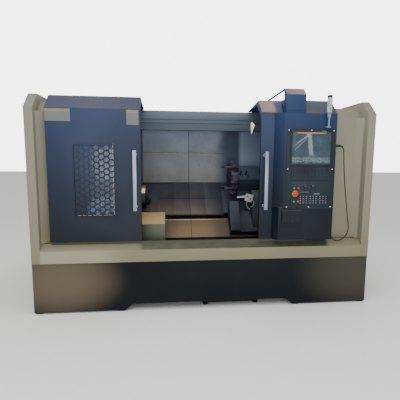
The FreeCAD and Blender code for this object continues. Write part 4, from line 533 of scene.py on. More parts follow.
# Layers: a painted highlight along the top edge, the dark seam, a darker left end, and painted shade towards
# the right.
apron.over((apron.z.step(0.779, 0.784) * 0.9, (196, 162, 104)),
           (apron.x.line(SEAM_X, 0.0035) * 0.8, (30, 26, 24)),
           (apron.x.below(-0.44, -0.2) * 0.45, (70, 58, 48)),
           (apron.x.step(0.02, 0.26) * 0.75, (62, 58, 54)))
guard = lining("guard_steel", "stainless", [(0.5, (84, 92, 78)), (0.8, (98, 102, 84)), (0.9, (98, 102, 84))])
guard.over((guard.x.below(-0.69, -0.6) * 0.45, (48, 56, 54)), (guard.facing_up(), (168, 142, 100)))
side = lining("side_steel", None, STEEP + [(1.0, (70, 70, 75)), (1.17, (78, 79, 86)), (1.2, (80, 82, 86)),
                                           (1.9, (108, 112, 124))])
charcoal = casting("charcoal_paint", None, (15, 20, 25), (8, 11, 15))
front = charcoal.y.below(-0.72, -0.68) * 0.8
charcoal.over((charcoal.oval(-1.40, 0.31, 0.66, 0.42, (0.0, 1.15)) * front, (106, 94, 76)),
              (charcoal.oval(1.62, 0.36, 0.80, 0.52, (0.0, 1.2)) * front, (70, 68, 57)))
iron = casting("cast_iron", None, (78, 84, 84), (54, 58, 60))
bed_iron = casting("bed_iron", "cast_iron", (34, 37, 40), (20, 22, 25))
print("with linings and castings:", len(bpy.data.materials))

# %% [markdown]
# ## Glass and printed film
#
# The operator plate is dark printed film over steel. The screen in it is dark glass: a teal picture with a
# thin orange line at the top and a pale band of softkeys at the foot, painted by height so that no letter is
# needed. The left door's pane sits behind a steel grille of hexagons, one laser-cut sheet painted like the
# door, so it hardly shows. The pane is nearly as dark, but pale in two patches where a reflection of the room
# is painted on it, and the grille's bars are painted a little darker over them.

# %% Film, screen, grille and pane
def film(name, light, dark):
    """Dark printed film over steel: a fine even grain and soft smears from hands."""
    made = Finish(name, "panel_plastic", Specular_IOR_Level=0.3)
    smears = made.clouds(7.0, 4.0, 0.6, made.stretched(1.0, 1.0, 0.5))
    made.set(Base_Color=made.mix(smears.step(0.3, 0.7), dark, light), Roughness=0.4 + smears * 0.2)
    return made.bump(made.clouds(1500.0, 1.0), 0.08, 0.0002)


def screen_glass():
    """Dark glass with a lit picture: a band at the foot, a line at the top and clouds and smears between."""
    made = Finish("dark_glass", Coat_Weight=0.25, Coat_Roughness=0.05, Roughness=0.12, Emission_Strength=0.12)
    x, z = made.x, made.z
    blur = made.clouds(60.0, 3.0, 0.6, made.stretched(1.0, 1.0, 2.6))
    made.tone = made.mix(made.clouds(11.0, 4.0, 0.6).step(0.35, 0.7), (34, 52, 62), (48, 70, 84))
    upright = (x - 0.962 + (z - 1.60) * 0.1 + made.clouds(14.0) * 0.05).line(0.025, 0.024)
    upright = upright * z.band(1.49, 1.54, 1.70, 1.73)
    slant = (z - 1.70 - (x - 0.935) * 0.72).line(0.0, 0.009) * x.band(0.80, 0.84, 0.93, 0.96)
    cross = (z - 1.575 - (x - 0.82) * 0.95).line(0.0, 0.007) * x.band(0.80, 0.82, 0.9, 0.93)
    smear = (upright * 0.6 + slant * 0.5 + cross * 0.4) * (0.5 + made.clouds(40.0, 3.0))
    made.over(((z - 1.470).size().below(0.018, 0.03) * blur.step(0.4, 0.6) * 0.75, (112, 122, 122)),
              (smear.least(0.8), (138, 146, 152)),
              ((z - 1.722).size().below(0.002, 0.005) * x.band(0.81, 0.84, 1.08, 1.12), (222, 132, 58)))
    return made.set(Emission_Color=made.tone)


def painted_reflection_patches(made):
    """Two soft ovals of painted reflection, high and low at the window's right: 1 inside, 0 outside."""
    high = made.oval(-0.965, 1.42, 0.13, 0.165, (0.05, 0.35))
    return (high + made.oval(-0.97, 1.01, 0.18, 0.125, (0.05, 0.4))).least(1.0)


def grille_paint():
    """Door paint on cut sheet, with the bars painted a little darker over the two painted reflection patches.
    """
    made = Finish("grille_paint", Specular_IOR_Level=0.2)
    made.tone = made.heights(NAVY)
    made.over((painted_reflection_patches(made), (22, 29, 44)), (made.clouds(60.0, 2.0).step(0.5, 0.8) * 0.15, (60, 68, 84)))
    return made.bump(made.clouds(420.0, 1.0), 0.2, 0.0004)


def window_pane():
    """Dusty glass: nearly the door's colour, with streaks, and a painted blue-grey reflection in two patches.
    """
    made = Finish("window_pane", Coat_Weight=0.1, Specular_IOR_Level=0.3)
    dust = made.clouds(5.0, 5.0, 0.6, None, 0.6)
    streak = made.clouds(1.0, 3.0, 0.6, made.stretched(11.0, 11.0, 1.4))
    made.tone = made.heights(NAVY)
    # The colour of the painted reflection in the two patches.
    lit = made.mix(made.clouds(34.0, 3.0, 0.6).step(0.35, 0.7), (44, 54, 72), (84, 98, 114))
    made.over((streak.step(0.55, 0.85) * 0.35, (70, 80, 98)), (painted_reflection_patches(made), lit))
    return made.set(Alpha=0.94 + dust * 0.06, Roughness=0.12 + dust * 0.2)


plate_film = film("panel_film", (22, 35, 44), (13, 25, 33))
key_film = film("key_film", (30, 41, 54), (16, 24, 34))
screen, grille, pane = screen_glass(), grille_paint(), window_pane()
print("with glass and film:", len(bpy.data.materials))

# %% [markdown]
# ## Softened edges
#
# No folded sheet or casting has a knife edge: the radius of a fold catches a line of light, and that line is
# what the eye reads as metal. The solids come as loose triangles, so a copy is merged into whole faces first,
# and a Bevel modifier then rounds every edge sharper than 25 degrees. The copy replaces the solid. The rest
# of the solids are right as they are, and only take a finish.

# %% Merge and round the solids
def whole_faces(mesh):
    """Joins triangles that share corners, then dissolves every edge between faces in one plane."""
    work = bmesh.new()
    work.from_mesh(mesh)
    bmesh.ops.remove_doubles(work, verts=work.verts, dist=2e-5)
    bmesh.ops.dissolve_limit(work, angle_limit=math.radians(0.6), verts=work.verts, edges=work.edges,
                             use_dissolve_boundaries=False)
    bmesh.ops.recalc_face_normals(work, faces=work.faces)
    work.to_mesh(mesh)
    work.free()
    return mesh


def cover(thing, finish):
    """Gives an object one finish, in every slot it has."""
    if not thing.material_slots:
        thing.data.materials.append(finish.material)
    for place in thing.material_slots:
        place.material = finish.material


def round_edges(thing, radius):
    """Rounds every edge sharper than 25 degrees; the radius is in millimetres."""
    thing.data.shade_smooth()
    edge = thing.modifiers.new("edges", "BEVEL")
    edge.width = radius / 1000
    edge.segments = 2
    edge.limit_method = "ANGLE"
    edge.angle_limit = math.radians(25)
    edge.use_clamp_overlap = True
    edge.harden_normals = True


def soften(finish, radius, names):
    """Rounded copies of nodes, which replace them."""
    for name in names.split():
        thing = bpy.data.objects.new("soft_" + name, whole_faces(nodes[name].data.copy()))
        thing.data.materials.clear()
        scene.collection.objects.link(thing)
        cover(thing, finish)
        round_edges(thing, radius)
        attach(thing, body_of_node[name])
        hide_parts(name)


for finish, radius, names in (
        (cream, 1.4, "front_sill"),
        (left_cream, 1.4, "left_end_cover left_fixed_panel"),
        (right_cream, 1.4, "right_end_cover right_fixed_panel rear_cover"),
        (navy, 1.0, "left_door"),
        (door_navy, 1.0, "right_door"),
        (cabinet_navy, 2.5, "control_cabinet"),
        (tower_navy, 1.2, "cable_tower"),
        (cabinet_navy, 2.0, "service_box"),
        (tail_navy, 3.0, "tailstock_body"),
        (charcoal, 4.0, "base_casting"),
        (charcoal, 1.5, "coolant_tank"),
        (bed_iron, 4.0, "bed_casting"),
        (iron, 4.0, "headstock spindle_motor"),
        (beam_paint, 1.5, "rear_beam"),
        (case_paint, 1.2, "electric_case"),
        (case_paint, 1.5, "electric_door"),
        (ways, 1.0, "carriage"),
        (ways, 0.8, "left_cover_1 left_cover_2 left_cover_3"),
        (slide_navy, 2.0, "cross_slide"),
        (guard, 1.2, "headstock_guard"),
        (plate_film, 1.0, "panel_plate"),
        (plate_film, 1.2, "operator_panel"),
        (tool_steel, 1.6, "turret_disc")):
    soften(finish, radius, names)
for name, finish in (("back_wall", wall), ("headstock_wall", side), ("chip_apron", apron),
                     ("drive_belt", rubber), ("spindle", ground), ("motor_pulley", ground),
                     ("coolant_pipes", pipe_steel), ("levelling_feet", black_steel),
                     ("left_grille", grille), ("left_pane", pane), ("screen_glass", screen)):
    cover(nodes[name], finish)
cover(lead, rubber)

# %% [markdown]
# ## Surfaces from numbers
#
# The pieces that follow are worked out with numpy. A turned piece is a profile of radius and length carried
# round a line; a box is eight corners; and a repeated thing is one set of corners added to a list of places.
# A shape is always a pair: points in metres, and faces that count them. One helper gives each new piece its
# finish and its body.

# %% Grids, turned shapes and boxes
def grid_faces(rows, columns):
    """Quads between neighbours of a grid numbered row by row, whose last column meets the first."""
    row = np.arange(rows - 1)[:, None] * columns
    column = np.arange(columns)[None, :]
    after, next_row = (column + 1) % columns, row + columns
    return np.stack([row + column, row + after, next_row + after, next_row + column], -1).reshape(-1, 4)


AXES = {"x": np.array([(0, 1, 0), (0, 0, 1), (1, 0, 0)], float),
        "y": np.array([(1, 0, 0), (0, 0, 1), (0, -1, 0)], float),
        "z": np.array([(1, 0, 0), (0, 1, 0), (0, 0, 1)], float)}


def turned(profile, axis="y", around=32, centre=(0, 0, 0), ribs=0, rib=0.0):
    """Point (t, a) = centre + r(t) (cos a, sin a) across + h(t) along; ribs add rib cos(ribs a) to r.

    Along y, a positive length points out of the machine, towards the operator.
    """
    radius, along = np.array(profile, float).T
    angle = np.linspace(0, 2 * np.pi, around, endpoint=False)
    across, up, ahead = AXES[axis]
    swell = radius[:, None] + rib * np.cos(ribs * angle)[None, :] * (radius[:, None] > 1)
    ring = np.cos(angle)[:, None] * across + np.sin(angle)[:, None] * up
    points = np.array(centre, float) + swell[..., None] * ring + along[:, None, None] * ahead
    return points.reshape(-1, 3) / 1000, grid_faces(len(profile), around)


def joined(*shapes):
    """Several shapes as one: their points in a row, and their faces counted on."""
    starts = np.cumsum([0] + [len(points) for points, _ in shapes])
    return (np.vstack([points for points, _ in shapes]),
            [tuple(int(corner + start) for corner in face)
             for (_, faces), start in zip(shapes, starts) for face in faces])


def repeated(shape, places):
    """The same shape at many places."""
    points, faces = shape
    return joined(*[(points + np.array(place) / 1000, faces) for place in places])


CORNERS = np.array([(x, y, z) for z in (0, 1) for y in (0, 1) for x in (0, 1)], float)
SIDES = [(0, 2, 3, 1), (4, 5, 7, 6), (0, 1, 5, 4), (2, 6, 7, 3), (0, 4, 6, 2), (1, 3, 7, 5)]


def boxes(*spans):
    """Boxes, each given as x0, x1, y0, y1, z0, z1: eight corners between two values on each axis."""
    ends = np.array(spans, float).reshape(-1, 3, 2) / 1000
    return joined(*[(low + CORNERS * (high - low), SIDES) for low, high in zip(ends[..., 0], ends[..., 1])])


def frame_of(x0, x1, z0, z1, wide, y0, y1):
    """Four bars round an opening, between an outer and an inner rectangle."""
    return boxes((x0, x1, y0, y1, z0, z0 + wide), (x0, x1, y0, y1, z1 - wide, z1),
                 (x0, x0 + wide, y0, y1, z0 + wide, z1 - wide), (x1 - wide, x1, y0, y1, z0 + wide, z1 - wide))


def piece(name, shape, finish, body="machine", replaces=None, edge=0.0, smooth=35):
    """Puts points and faces into a mesh, closes its poles and turns its faces outwards."""
    mesh = bpy.data.meshes.new(name)
    points, faces = joined(shape)
    mesh.from_pydata(points.tolist(), [], faces)
    work = bmesh.new()
    work.from_mesh(mesh)
    bmesh.ops.remove_doubles(work, verts=work.verts, dist=1e-6)
    bmesh.ops.holes_fill(work, edges=[e for e in work.edges if e.is_boundary], sides=0)
    bmesh.ops.recalc_face_normals(work, faces=work.faces)
    work.to_mesh(mesh)
    work.free()
    thing = bpy.data.objects.new(name, mesh)
    scene.collection.objects.link(thing)
    cover(thing, finish)
    if edge:
        round_edges(thing, edge)
    else:
        mesh.shade_smooth()
        mesh.set_sharp_from_angle(angle=math.radians(smooth))
    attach(thing, body)
    if replaces:
        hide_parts(replaces)


print("a turned shape of 4 rings has", len(turned([(1, 0), (2, 0), (2, 1), (1, 1)])[1]), "quads")

# %% [markdown]
# ## Keys and screws of the operator plate
#
# Eight pan-head screws hold the plate. The keyboard has caps with a dished top, which catch light along one
# edge. Each cap is a block that narrows towards its top; forty of them are one mesh. The flat membrane keys
# below are barely raised: white ones, and a few red and green ones that start and stop the machine.

# %% Screws and keyboard
PLATE_Y, PANEL_Y = -819, -824


def cap(wide, high, rise, taper, sink=0.4):
    """A key cap: a foot, a narrower top and a dished middle, as three rings of four corners."""
    def ring(half_x, half_z, out):
        return [(x * half_x, -out, z * half_z) for x, z in ((-1, -1), (1, -1), (1, 1), (-1, 1))]

    top = (wide / 2 - taper, high / 2 - taper)
    points = ring(wide / 2, high / 2, 0) + ring(*top, rise) + ring(top[0] - 1, top[1] - 1, rise - sink)
    return np.array(points, float) / 1000, [*grid_faces(3, 4), (8, 9, 10, 11)]


pan_head = [(0, 2.6), (2.2, 2.6), (2.6, 3.7), (4.4, 3.4), (6.4, 2.4), (7.0, 0.6), (7.0, -0.5), (0, -0.5)]
plate_screws = [(x, PLATE_Y, z) for x in (745, 1187) for z in (1017, 1382, 1747)]
plate_screws += [(966, PLATE_Y, z) for z in (1017, 1747)]
piece("plate_screws", repeated(turned(pan_head, "y", 12), plate_screws), white_plastic)

left, right, foot, head, margin, rows, columns = 782, 1168, 1278, 1404, 12, 4, 10
key_foot = (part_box("key_unit")[0].y + 0.003) * 1000
pitch_x, pitch_z = (right - left - 2 * margin) / columns, (head - foot - 2 * margin) / rows
key_places = [(left + margin + pitch_x * (i + 0.5), key_foot, foot + margin + pitch_z * (j + 0.5))
              for i in range(columns) for j in range(rows)]
piece("keyboard_frame", boxes((left, right, key_foot, PLATE_Y - 0.2, foot, head)), plate_film,
      replaces="key_unit", edge=1.5)
piece("keyboard_caps", repeated(cap(pitch_x - 7, pitch_z - 7, 3.0, 1.4), key_places), key_film, edge=0.4)
print("keys:", len(key_places), "pitch", pitch_x, pitch_z)

# %% Membrane keys
column, row = (v.ravel() for v in np.meshgrid(np.arange(9), np.arange(4)))
flat_x, flat_z = 880 + column * 29.5 + (column // 3) * 10, 1056 + row * 21
flat_places = np.column_stack([flat_x, np.full(36, PANEL_Y), flat_z])
red = (row == 1) & ((column == 1) | (column == 8)) | (row == 2) & (column == 7)
green = (row >= 2) & (column == 8)
for name, chosen, finish in (("white_keys", ~red & ~green, grey_plastic), ("red_keys", red, red_plastic),
                             ("green_keys", green, green_plastic)):
    piece(name, repeated(cap(10, 9, 1.2, 0.8, 0.2), flat_places[chosen]), finish)
strips = boxes((1012, 1072, PANEL_Y - 1.5, PANEL_Y, 1141, 1149),
               (872, 960, PANEL_Y - 1.5, PANEL_Y, 1160, 1164))
piece("panel_strips", strips, grey_plastic, edge=0.5)
print("membrane keys:", len(column), "red", int(red.sum()), "green", int(green.sum()))

# %% [markdown]
# ## Stop button, push buttons and knobs
#
# The stop button is a red mushroom that stands off a yellow collar, so that a palm can hit it from any side;
# its rim has finger dents. The four push buttons are domed caps in round bezels, and the two override knobs
# have a knurled skirt and a white pointer. They are turned shapes whose profiles are written as radius and
# height, and they replace the plain blocks.

# %% Buttons
MUSHROOM = [(0, 24.6), (11, 24.2), (18, 22.2), (23, 18.4), (25.4, 13.6), (25.4, 10.4), (23.6, 8.6), (18, 7.6),
            (13.5, 7.2), (13.5, -1.2), (0, -1.2)]
COLLAR = [(14.5, 0), (29, 0), (30, 1.2), (29.6, 2.4), (26, 3.4), (14.5, 3.4), (14.5, 0)]
BUTTON = [(0, 13.6), (5, 13.2), (9, 11.8), (11.4, 9.4), (12.0, 7.0), (12.0, 3.5), (7.4, 3.5), (7.4, -1.4),
          (0, -1.4)]
BEZEL = [(12.6, 0), (14.6, 0), (15.2, 0.8), (14.6, 2.4), (12.9, 3.0), (12.6, 2.4), (12.6, 0)]
stop_x, stop_z = 828, 1146
mushroom = turned(MUSHROOM, "y", 48, (stop_x, PANEL_Y - 2.7, stop_z), 12, 0.5)
piece("stop_mushroom", mushroom, red_plastic, "e_stop", "e_stop")
piece("stop_collar", turned(COLLAR, "y", 48, (stop_x, PANEL_Y, stop_z)), yellow_plastic)
for row, z in (("upper", 1200), ("lower", 1071)):
    for colour, x, finish in (("green", 813, green_plastic), ("red", 853, red_plastic)):
        name = f"{colour}_button_{row}"
        piece(name + "_cap", turned(BUTTON, "y", 28, (x, PANEL_Y, z)), finish, name, name)
        piece(name + "_bezel", turned(BEZEL, "y", 28, (x, PANEL_Y, z)), black_plastic)
print("buttons: 4, and the stop at", stop_x, stop_z)

# %% Knobs
KNOB = [(0, 21.5), (7.5, 21.3), (9.4, 20.2), (10.2, 12), (12.5, 6.2), (16.2, 4.6), (17, 3.4), (17, 0.5),
        (0, 0.5)]
DIAL = [(17.6, 0), (25, 0), (25, 0.9), (17.6, 0.9), (17.6, 0)]
knob_z, mark_radius = 1216, 21.5
turns = np.radians(np.arange(-135, 136, 27))
for name, x in (("feed_knob", 912), ("speed_knob", 986)):
    centre = (x, PANEL_Y, knob_z)
    marks = np.array(centre) + mark_radius * np.column_stack([np.sin(turns), turns * 0, np.cos(turns)])
    pointer = boxes((x - 1.2, x + 1.2, PANEL_Y - 22.4, PANEL_Y - 20.8, knob_z + 1, knob_z + 8))
    piece(name + "_grip", turned(KNOB, "y", 48, centre, 24, 0.35), black_plastic, name, name)
    piece(name + "_pointer", pointer, white_plastic, name)
    piece(name + "_dial", turned(DIAL, "y", 48, centre), key_film)
    piece(name + "_marks", repeated(boxes((-0.8, 0.8, -1.3, -0.8, -1.8, 1.8)), marks), white_plastic)
print("dial marks:", len(turns), "on each knob")

# %% [markdown]
# ## Handles
#
# Each door has a tall pull handle of ground steel. The real one is a flat bar with its long edges rounded
# over, held on two standoffs that are narrower than the bar. Its section is a superellipse: the fifth-power
# cousin of an oval, nearly a rectangle but with soft corners. The section is carried straight up and closed
# by shrinking rings at both ends.

# %% Handles
def superellipse(half_x, half_y, power=5.0, around=32):
    """Section x = a |cos|^(2/p) sign, y = b |sin|^(2/p) sign for an angle that goes once round."""
    angle = np.linspace(0, 2 * np.pi, around, endpoint=False)
    ring = np.stack([np.cos(angle), np.sin(angle)], -1)
    return np.sign(ring) * np.abs(ring) ** (2 / power) * (half_x, half_y)


def upright_bar(x, y, z0, z1, half_x, half_y, ease=3.0):
    """The section at six heights; the first and last are drawn in so that the ends are rounded."""
    levels = np.array([z0, z0 + ease * 0.3, z0 + ease, z1 - ease, z1 - ease * 0.3, z1])
    pull = np.array([ease, ease * 0.4, 0, 0, ease * 0.4, ease])
    rings = [np.column_stack([superellipse(half_x - p, half_y - p) + (x, y), np.full(32, z)])
             for z, p in zip(levels, pull)]
    return np.vstack(rings) / 1000, grid_faces(len(rings), 32)


STANDOFF = [(0, 0.2), (17.0, 0.2), (17.0, 3), (11.5, 4.2), (11.5, 60), (15, 64), (0, 64)]
for hand in ("left", "right"):
    low, high = (np.array(corner) * 1000 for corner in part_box(hand + "_handle"))
    middle = (low[0] + high[0]) / 2
    bar = upright_bar(middle, low[1] + 9, low[2], high[2], 18, 9)
    legs = repeated(turned(STANDOFF, "y", 24), [(middle, -735.2, z) for z in (low[2] + 34, high[2] - 34)])
    piece(hand + "_pull", joined(bar, legs), handle_metal, hand + "_door", hand + "_handle")
print("handles from", low.round(1), "to", high.round(1))

# %% [markdown]
# ## Seal, plates and screws on the doors
#
# The pane is held from outside by a strip pressed over the edge of the opening, and small bright tabs clamp
# the grille along its right and lower edges. A pale plate is screwed to each top corner of the left door; it
# is bare, with a lighter band.

# %% Window strip, plates and screws of the doors
DOOR_Y = -735
left, right, foot, head = -1249, -878, 933, 1601
strip = frame_of(left, right, foot, head, 9, DOOR_Y - 4, DOOR_Y + 0.1)
piece("window_strip", strip, navy, "left_door", edge=1.6)
upright_tabs = [(-886, DOOR_Y - 0.5, z) for z in np.arange(966, 1590, 51.5)]
level_tabs = [(x, DOOR_Y - 0.5, 941) for x in np.arange(-1206, -900, 47)]
tabs = joined(repeated(boxes((-5, 5, -1, 1, -19, 19)), upright_tabs),
              repeated(boxes((-17, 17, -1, 1, -3.5, 3.5)), level_tabs))
piece("grille_tabs", tabs, tab_metal, "left_door", edge=0.5)
for name, x0, x1, z0, z1 in (("corner_plate_left", -1477, -1256, 1800, 1912),
                             ("corner_plate_right", -762, -652, 1776, 1912)):
    piece(name, boxes((x0, x1, DOOR_Y - 1.6, DOOR_Y + 0.1, z0, z1)), pale_plate, "left_door", edge=0.6)
    band = boxes((x0 + 4, x1 - 4, DOOR_Y - 2.2, DOOR_Y - 1.5, z1 - 26, z1 - 6))
    piece(name + "_band", band, pale_band, "left_door", edge=0.3)
door_screw = turned([(0, 1.6), (3.4, 1.5), (4.6, 0.9), (5, 0), (5, -0.4), (0, -0.4)], "y", 10)
door_screws = [(x, DOOR_Y, z) for x in (-1466, -652) for z in (720, 1020, 1320, 1620, 1900)]
right_screws = [(517, DOOR_Y, z) for z in (720, 900, 1640, 1900)]
piece("door_screws", repeated(door_screw, door_screws), black_steel, "left_door")
piece("right_door_screws", repeated(door_screw, right_screws), black_steel, "right_door")
print("tabs:", len(upright_tabs) + len(level_tabs), "door screws:", len(door_screws) + len(right_screws))

# %% [markdown]
# ## Chuck and jaws
#
# The chuck is a turned steel drum with a face groove, and three slots cross its face from the rim inwards.
# Master jaws slide in the slots and carry bolted top jaws with two steps. Many flat-sided details like these
# are easiest in the chuck's own measures: distance along the spindle, distance from its line, and distance
# across. `spun` turns such points to an angle about a line parallel to X.

# %% Turned about the spindle line
SPINDLE = (-175.0, 1050.0)
TURRET = (37.13, 1262.13)
JAW_ANGLES = (90, 210, 330)


def spun(shape, angle, line=SPINDLE):
    """Carries (along, out, across) to X, Y and Z by an angle a about a line parallel to X.

    X = along, Y = line_y + out cos a - across sin a, Z = line_z + out sin a + across cos a.
    """
    points, faces = shape
    along, out, across = (points * 1000).T
    a = math.radians(angle)
    y = line[0] + out * math.cos(a) - across * math.sin(a)
    z = line[1] + out * math.sin(a) + across * math.cos(a)
    return np.column_stack([along, y, z]) / 1000, faces


def slab(outline, half, middle=0.0):
    """A flat outline in (along, out), given thickness across: two caps and a wall of quads."""
    count = len(outline)
    points = np.vstack([np.column_stack([outline, np.full(count, middle + side)]) for side in (-half, half)])
    turn = np.arange(count)
    after = (turn + 1) % count
    return points / 1000, [*np.stack([turn, after, after + count, turn + count], -1), turn, turn + count]


SOCKET_SCREW = [(0, -3.4), (2.6, -3.4), (2.8, -0.2), (3.6, 0), (5.2, -0.2), (5.6, -1.0), (5.6, -6), (0, -6)]


def screws_along(places, scale=1.0):
    """Socket screws whose heads look towards the tools; a scale below 0 turns them round."""
    return repeated(turned([(r * abs(scale), -h * scale) for r, h in SOCKET_SCREW], "x", 12), places)


def round_line(radius, angles, x, line=SPINDLE):
    """Places at this radius about a line, at these angles."""
    a = np.radians(angles)
    return np.column_stack([np.full(len(a), x), line[0] + radius * np.cos(a), line[1] + radius * np.sin(a)])


print("a slab of 3 corners has", len(slab([(0, 0), (1, 0), (1, 1)], 1)[1]), "faces")

# %% Chuck and jaws
BORE, CHUCK_BACK, CHUCK_FACE = 31.0, -725, -625
DRUM = [(BORE, 0), (92, 0), (119, 1), (125, 5), (127, 10), (127, 32), (125.4, 33.5), (125.4, 37.5), (127, 39),
        (127, 84), (124.5, 92), (117, 98), (110, 100), (86, 100), (85, 97.6), (80, 97.6), (79, 100),
        (58, 100), (54, 96), (44, 96), (42, 92), (BORE, 92), (BORE, 0)]
drum = turned(DRUM, "x", 96, (CHUCK_BACK, *SPINDLE))
piece("chuck_drum", drum, chuck_steel, "spindle", "chuck_body", smooth=28)
slot_edges = [spun(slab([(-632, 42), (-624.4, 42), (-624.4, 124), (-632, 124)], 1.6, side * 19.5), angle)
              for angle in JAW_ANGLES for side in (-1, 1)]
piece("chuck_slot_edges", joined(*slot_edges), black_steel, "spindle", edge=0.3)
between_jaws = (30, 150, 270)
face_screws = np.vstack([round_line(radius, between_jaws, CHUCK_FACE + proud)
                         for radius, proud in ((70, 0.8), (104, 1.4))])
rim_screws = round_line(98, np.arange(0, 360, 60), CHUCK_FACE + 1)
chuck_screws = joined(screws_along(face_screws), screws_along(rim_screws, 0.8))
piece("chuck_screws", chuck_screws, black_steel, "spindle")

# Two steps with a chamfer on each corner; the gripping face carries fine teeth across.
teeth = [(-601 + i * 1.6 + 0.8 * k, 74 + 0.9 * k) for i in range(10) for k in (0, 1)]
top_jaw = slab([(-639, 44), (-604.5, 44), (-603, 45.5), (-603, 73), (-602, 74), *teeth, (-584.5, 74),
                (-583, 75.5), (-583, 112), (-586, 118), (-639, 118)], 17)
for number, angle in enumerate(JAW_ANGLES, 1):
    name = f"jaw_{number}"
    seats = np.vstack([round_line(96, (angle,), -582.8), round_line(57, (angle,), -602.8)])
    piece("top_" + name, spun(top_jaw, angle), jaw_steel, name, name, edge=0.5)
    piece(name + "_screws", screws_along(seats, 1.15), black_steel, name)
print("chuck rings:", len(DRUM), "teeth on each jaw:", len(teeth) // 2)

# %% [markdown]
# ## Turret and tools
#
# Eight tools stand round the turret disc, each in a black block held by a wedge and screws. Every other
# block holds a boring bar, whose end carries a small bright insert. On the disc's face sit a cap and a ring
# of screws. The disc keeps its solid shape, with rounded edges.

# %% Turret
TURRET_CAP = [(0, -9), (26, -9), (32, -7), (34, -3), (46, -2.4), (58, -2), (60, 0), (60, 1), (0, 1)]
PIN = [(0, -3), (6, -3), (8, -1), (8, 1), (0, 1)]
TURRET_FACE = 342
piece("turret_cap", turned(TURRET_CAP, "x", 48, (TURRET_FACE, *TURRET)), black_steel, "turret")
disc_screws = screws_along(round_line(96, np.arange(0, 360, 30), TURRET_FACE - 0.8, TURRET), -1.2)
pin_places = round_line(124, np.arange(22.5, 360, 45), TURRET_FACE - 0.4, TURRET)
index_pins = repeated(turned(PIN, "x", 12), pin_places)
piece("turret_screws", joined(disc_screws, index_pins), pipe_steel, "turret")

stations = 45.0 + 45.0 * np.arange(8)


def at_stations(shape, angles):
    """One shape at some of the turret's stations."""
    return joined(*[spun(shape, angle, TURRET) for angle in angles])


tool_block = joined(slab([(347, 148), (346, 150), (346, 186), (350, 198), (402, 198), (406, 190), (420, 188),
                          (420, 148)], 28), slab([(372, 196), (372, 199.6), (396, 199.6), (396, 196)], 20))
BAR = [(0, -86), (9, -86), (11.5, -84), (13.4, -70), (14, -66), (14, 4), (0, 4)]
CLAMP_SCREW = [(0, 3), (2.4, 3), (2.8, 6), (5, 6), (5.6, 5), (5.6, -1), (0, -1)]
boring_bar = turned(BAR, "x", 20, (346, 173, 0))
insert = slab([(260.4, 180), (268, 187), (272, 180), (265, 175)], 3)
turning_bar = slab([(331, 160), (347, 160), (347, 182), (336, 182), (331, 176)], 11)
clamp_points, clamp_faces = turned(CLAMP_SCREW, "x", 10)
clamps = repeated((clamp_points[:, [1, 0, 2]], clamp_faces), [(384, 199.2, across) for across in (-12, 12)])
for name, shape, angles, finish, replaces, edge in (
        ("tool_blocks", tool_block, stations, tool_steel, "tool_holders", 1.0),
        ("boring_bars", boring_bar, stations[::2], tool_steel, None, 0.0),
        ("inserts", insert, stations[::2], ground, None, 0.0),
        ("turning_bars", turning_bar, stations[1::2], tool_steel, None, 0.8),
        ("block_screws", clamps, stations, black_steel, None, 0.0)):
    piece(name, at_stations(shape, angles), finish, "turret", replaces, edge)
print("tools:", len(stations), "with a bar:", len(stations[::2]))

# %% [markdown]
# ## Live centre, quill and the jointed coolant nozzle
#
# The live centre is a ground cone in a round body, with a ring of dark screws. The quill behind it is a
# turned bar. A hose of plastic beads brings coolant to the tip: each bead is a small sphere-and-socket, so
# the chain can be bent to any curve and then stays there. Its beads are one turned shape, repeated along a
# curve.

# %% Centre, quill and bead hoses
CENTRE_TIP, QUILL_END = 431, 540
CENTRE = [(0, 0), (1.4, 0.4), (20.4, 39.4), (21, 40.4), (21, 46), (34, 47), (40, 50), (42, 55), (42, 62),
          (40.6, 63), (40.6, 67), (42, 68), (42, 96), (40, 104), (36, 108.4), (0, 108.4)]
QUILL = [(0, 0), (34, 0), (36, 2), (36, 288), (34, 290), (0, 290)]
BEAD = [(0, -0.62), (0.72, -0.62), (1.0, -0.3), (1.0, 0.1), (0.62, 0.5), (0, 0.5)]
centre_body = turned(CENTRE, "x", 48, (CENTRE_TIP, *SPINDLE))
centre_screws = screws_along(round_line(31, np.arange(0, 360, 60), CENTRE_TIP + 46.4), 0.7)
piece("live_centre_body", centre_body, pipe_steel, "live_centre", "live_centre")
piece("live_centre_screws", centre_screws, black_steel, "live_centre")
piece("quill_bar", turned(QUILL, "x", 48, (QUILL_END, *SPINDLE)), chromed, "quill", "quill")


def beads_along(corners, step=8, radius=5.4):
    """Beads at equal steps along (1-t)^3 p0 + 3 (1-t)^2 t p1 + 3 (1-t) t^2 p2 + t^3 p3, turned its way."""
    t = np.linspace(0, 1, 200)[:, None]
    shares = np.hstack([(1 - t) ** 3, 3 * (1 - t) ** 2 * t, 3 * (1 - t) * t ** 2, t ** 3])
    curve = shares @ np.array(corners, float)
    lengths = np.concatenate([[0], np.cumsum(np.linalg.norm(np.diff(curve, axis=0), axis=1))])
    stops = np.arange(0, lengths[-1], step)
    places = np.column_stack([np.interp(stops, lengths, curve[:, k]) for k in range(3)])
    ahead = np.gradient(places, axis=0)
    ahead /= np.linalg.norm(ahead, axis=1, keepdims=True)
    side = np.cross(ahead, (0.3, 0.9, 0.2))
    side /= np.linalg.norm(side, axis=1, keepdims=True)
    frames = np.stack([side, np.cross(ahead, side), ahead], 1)
    bead, faces = turned(BEAD, "z", 12)
    points = np.einsum("vk,nkj->nvj", bead * radius, frames) + places[:, None] / 1000
    return joined(*[(chain_link, faces) for chain_link in points])


hoses = joined(beads_along([(530, -276, 1012), (572, -306, 1040), (576, -312, 960), (528, -290, 948)]),
               beads_along([(494, -276, 1008), (462, -300, 1000), (480, -306, 930), (524, -290, 920)]))
piece("bead_hoses", hoses, bead_plastic, "quill")
print("beads:", len(hoses[1]) // 60)

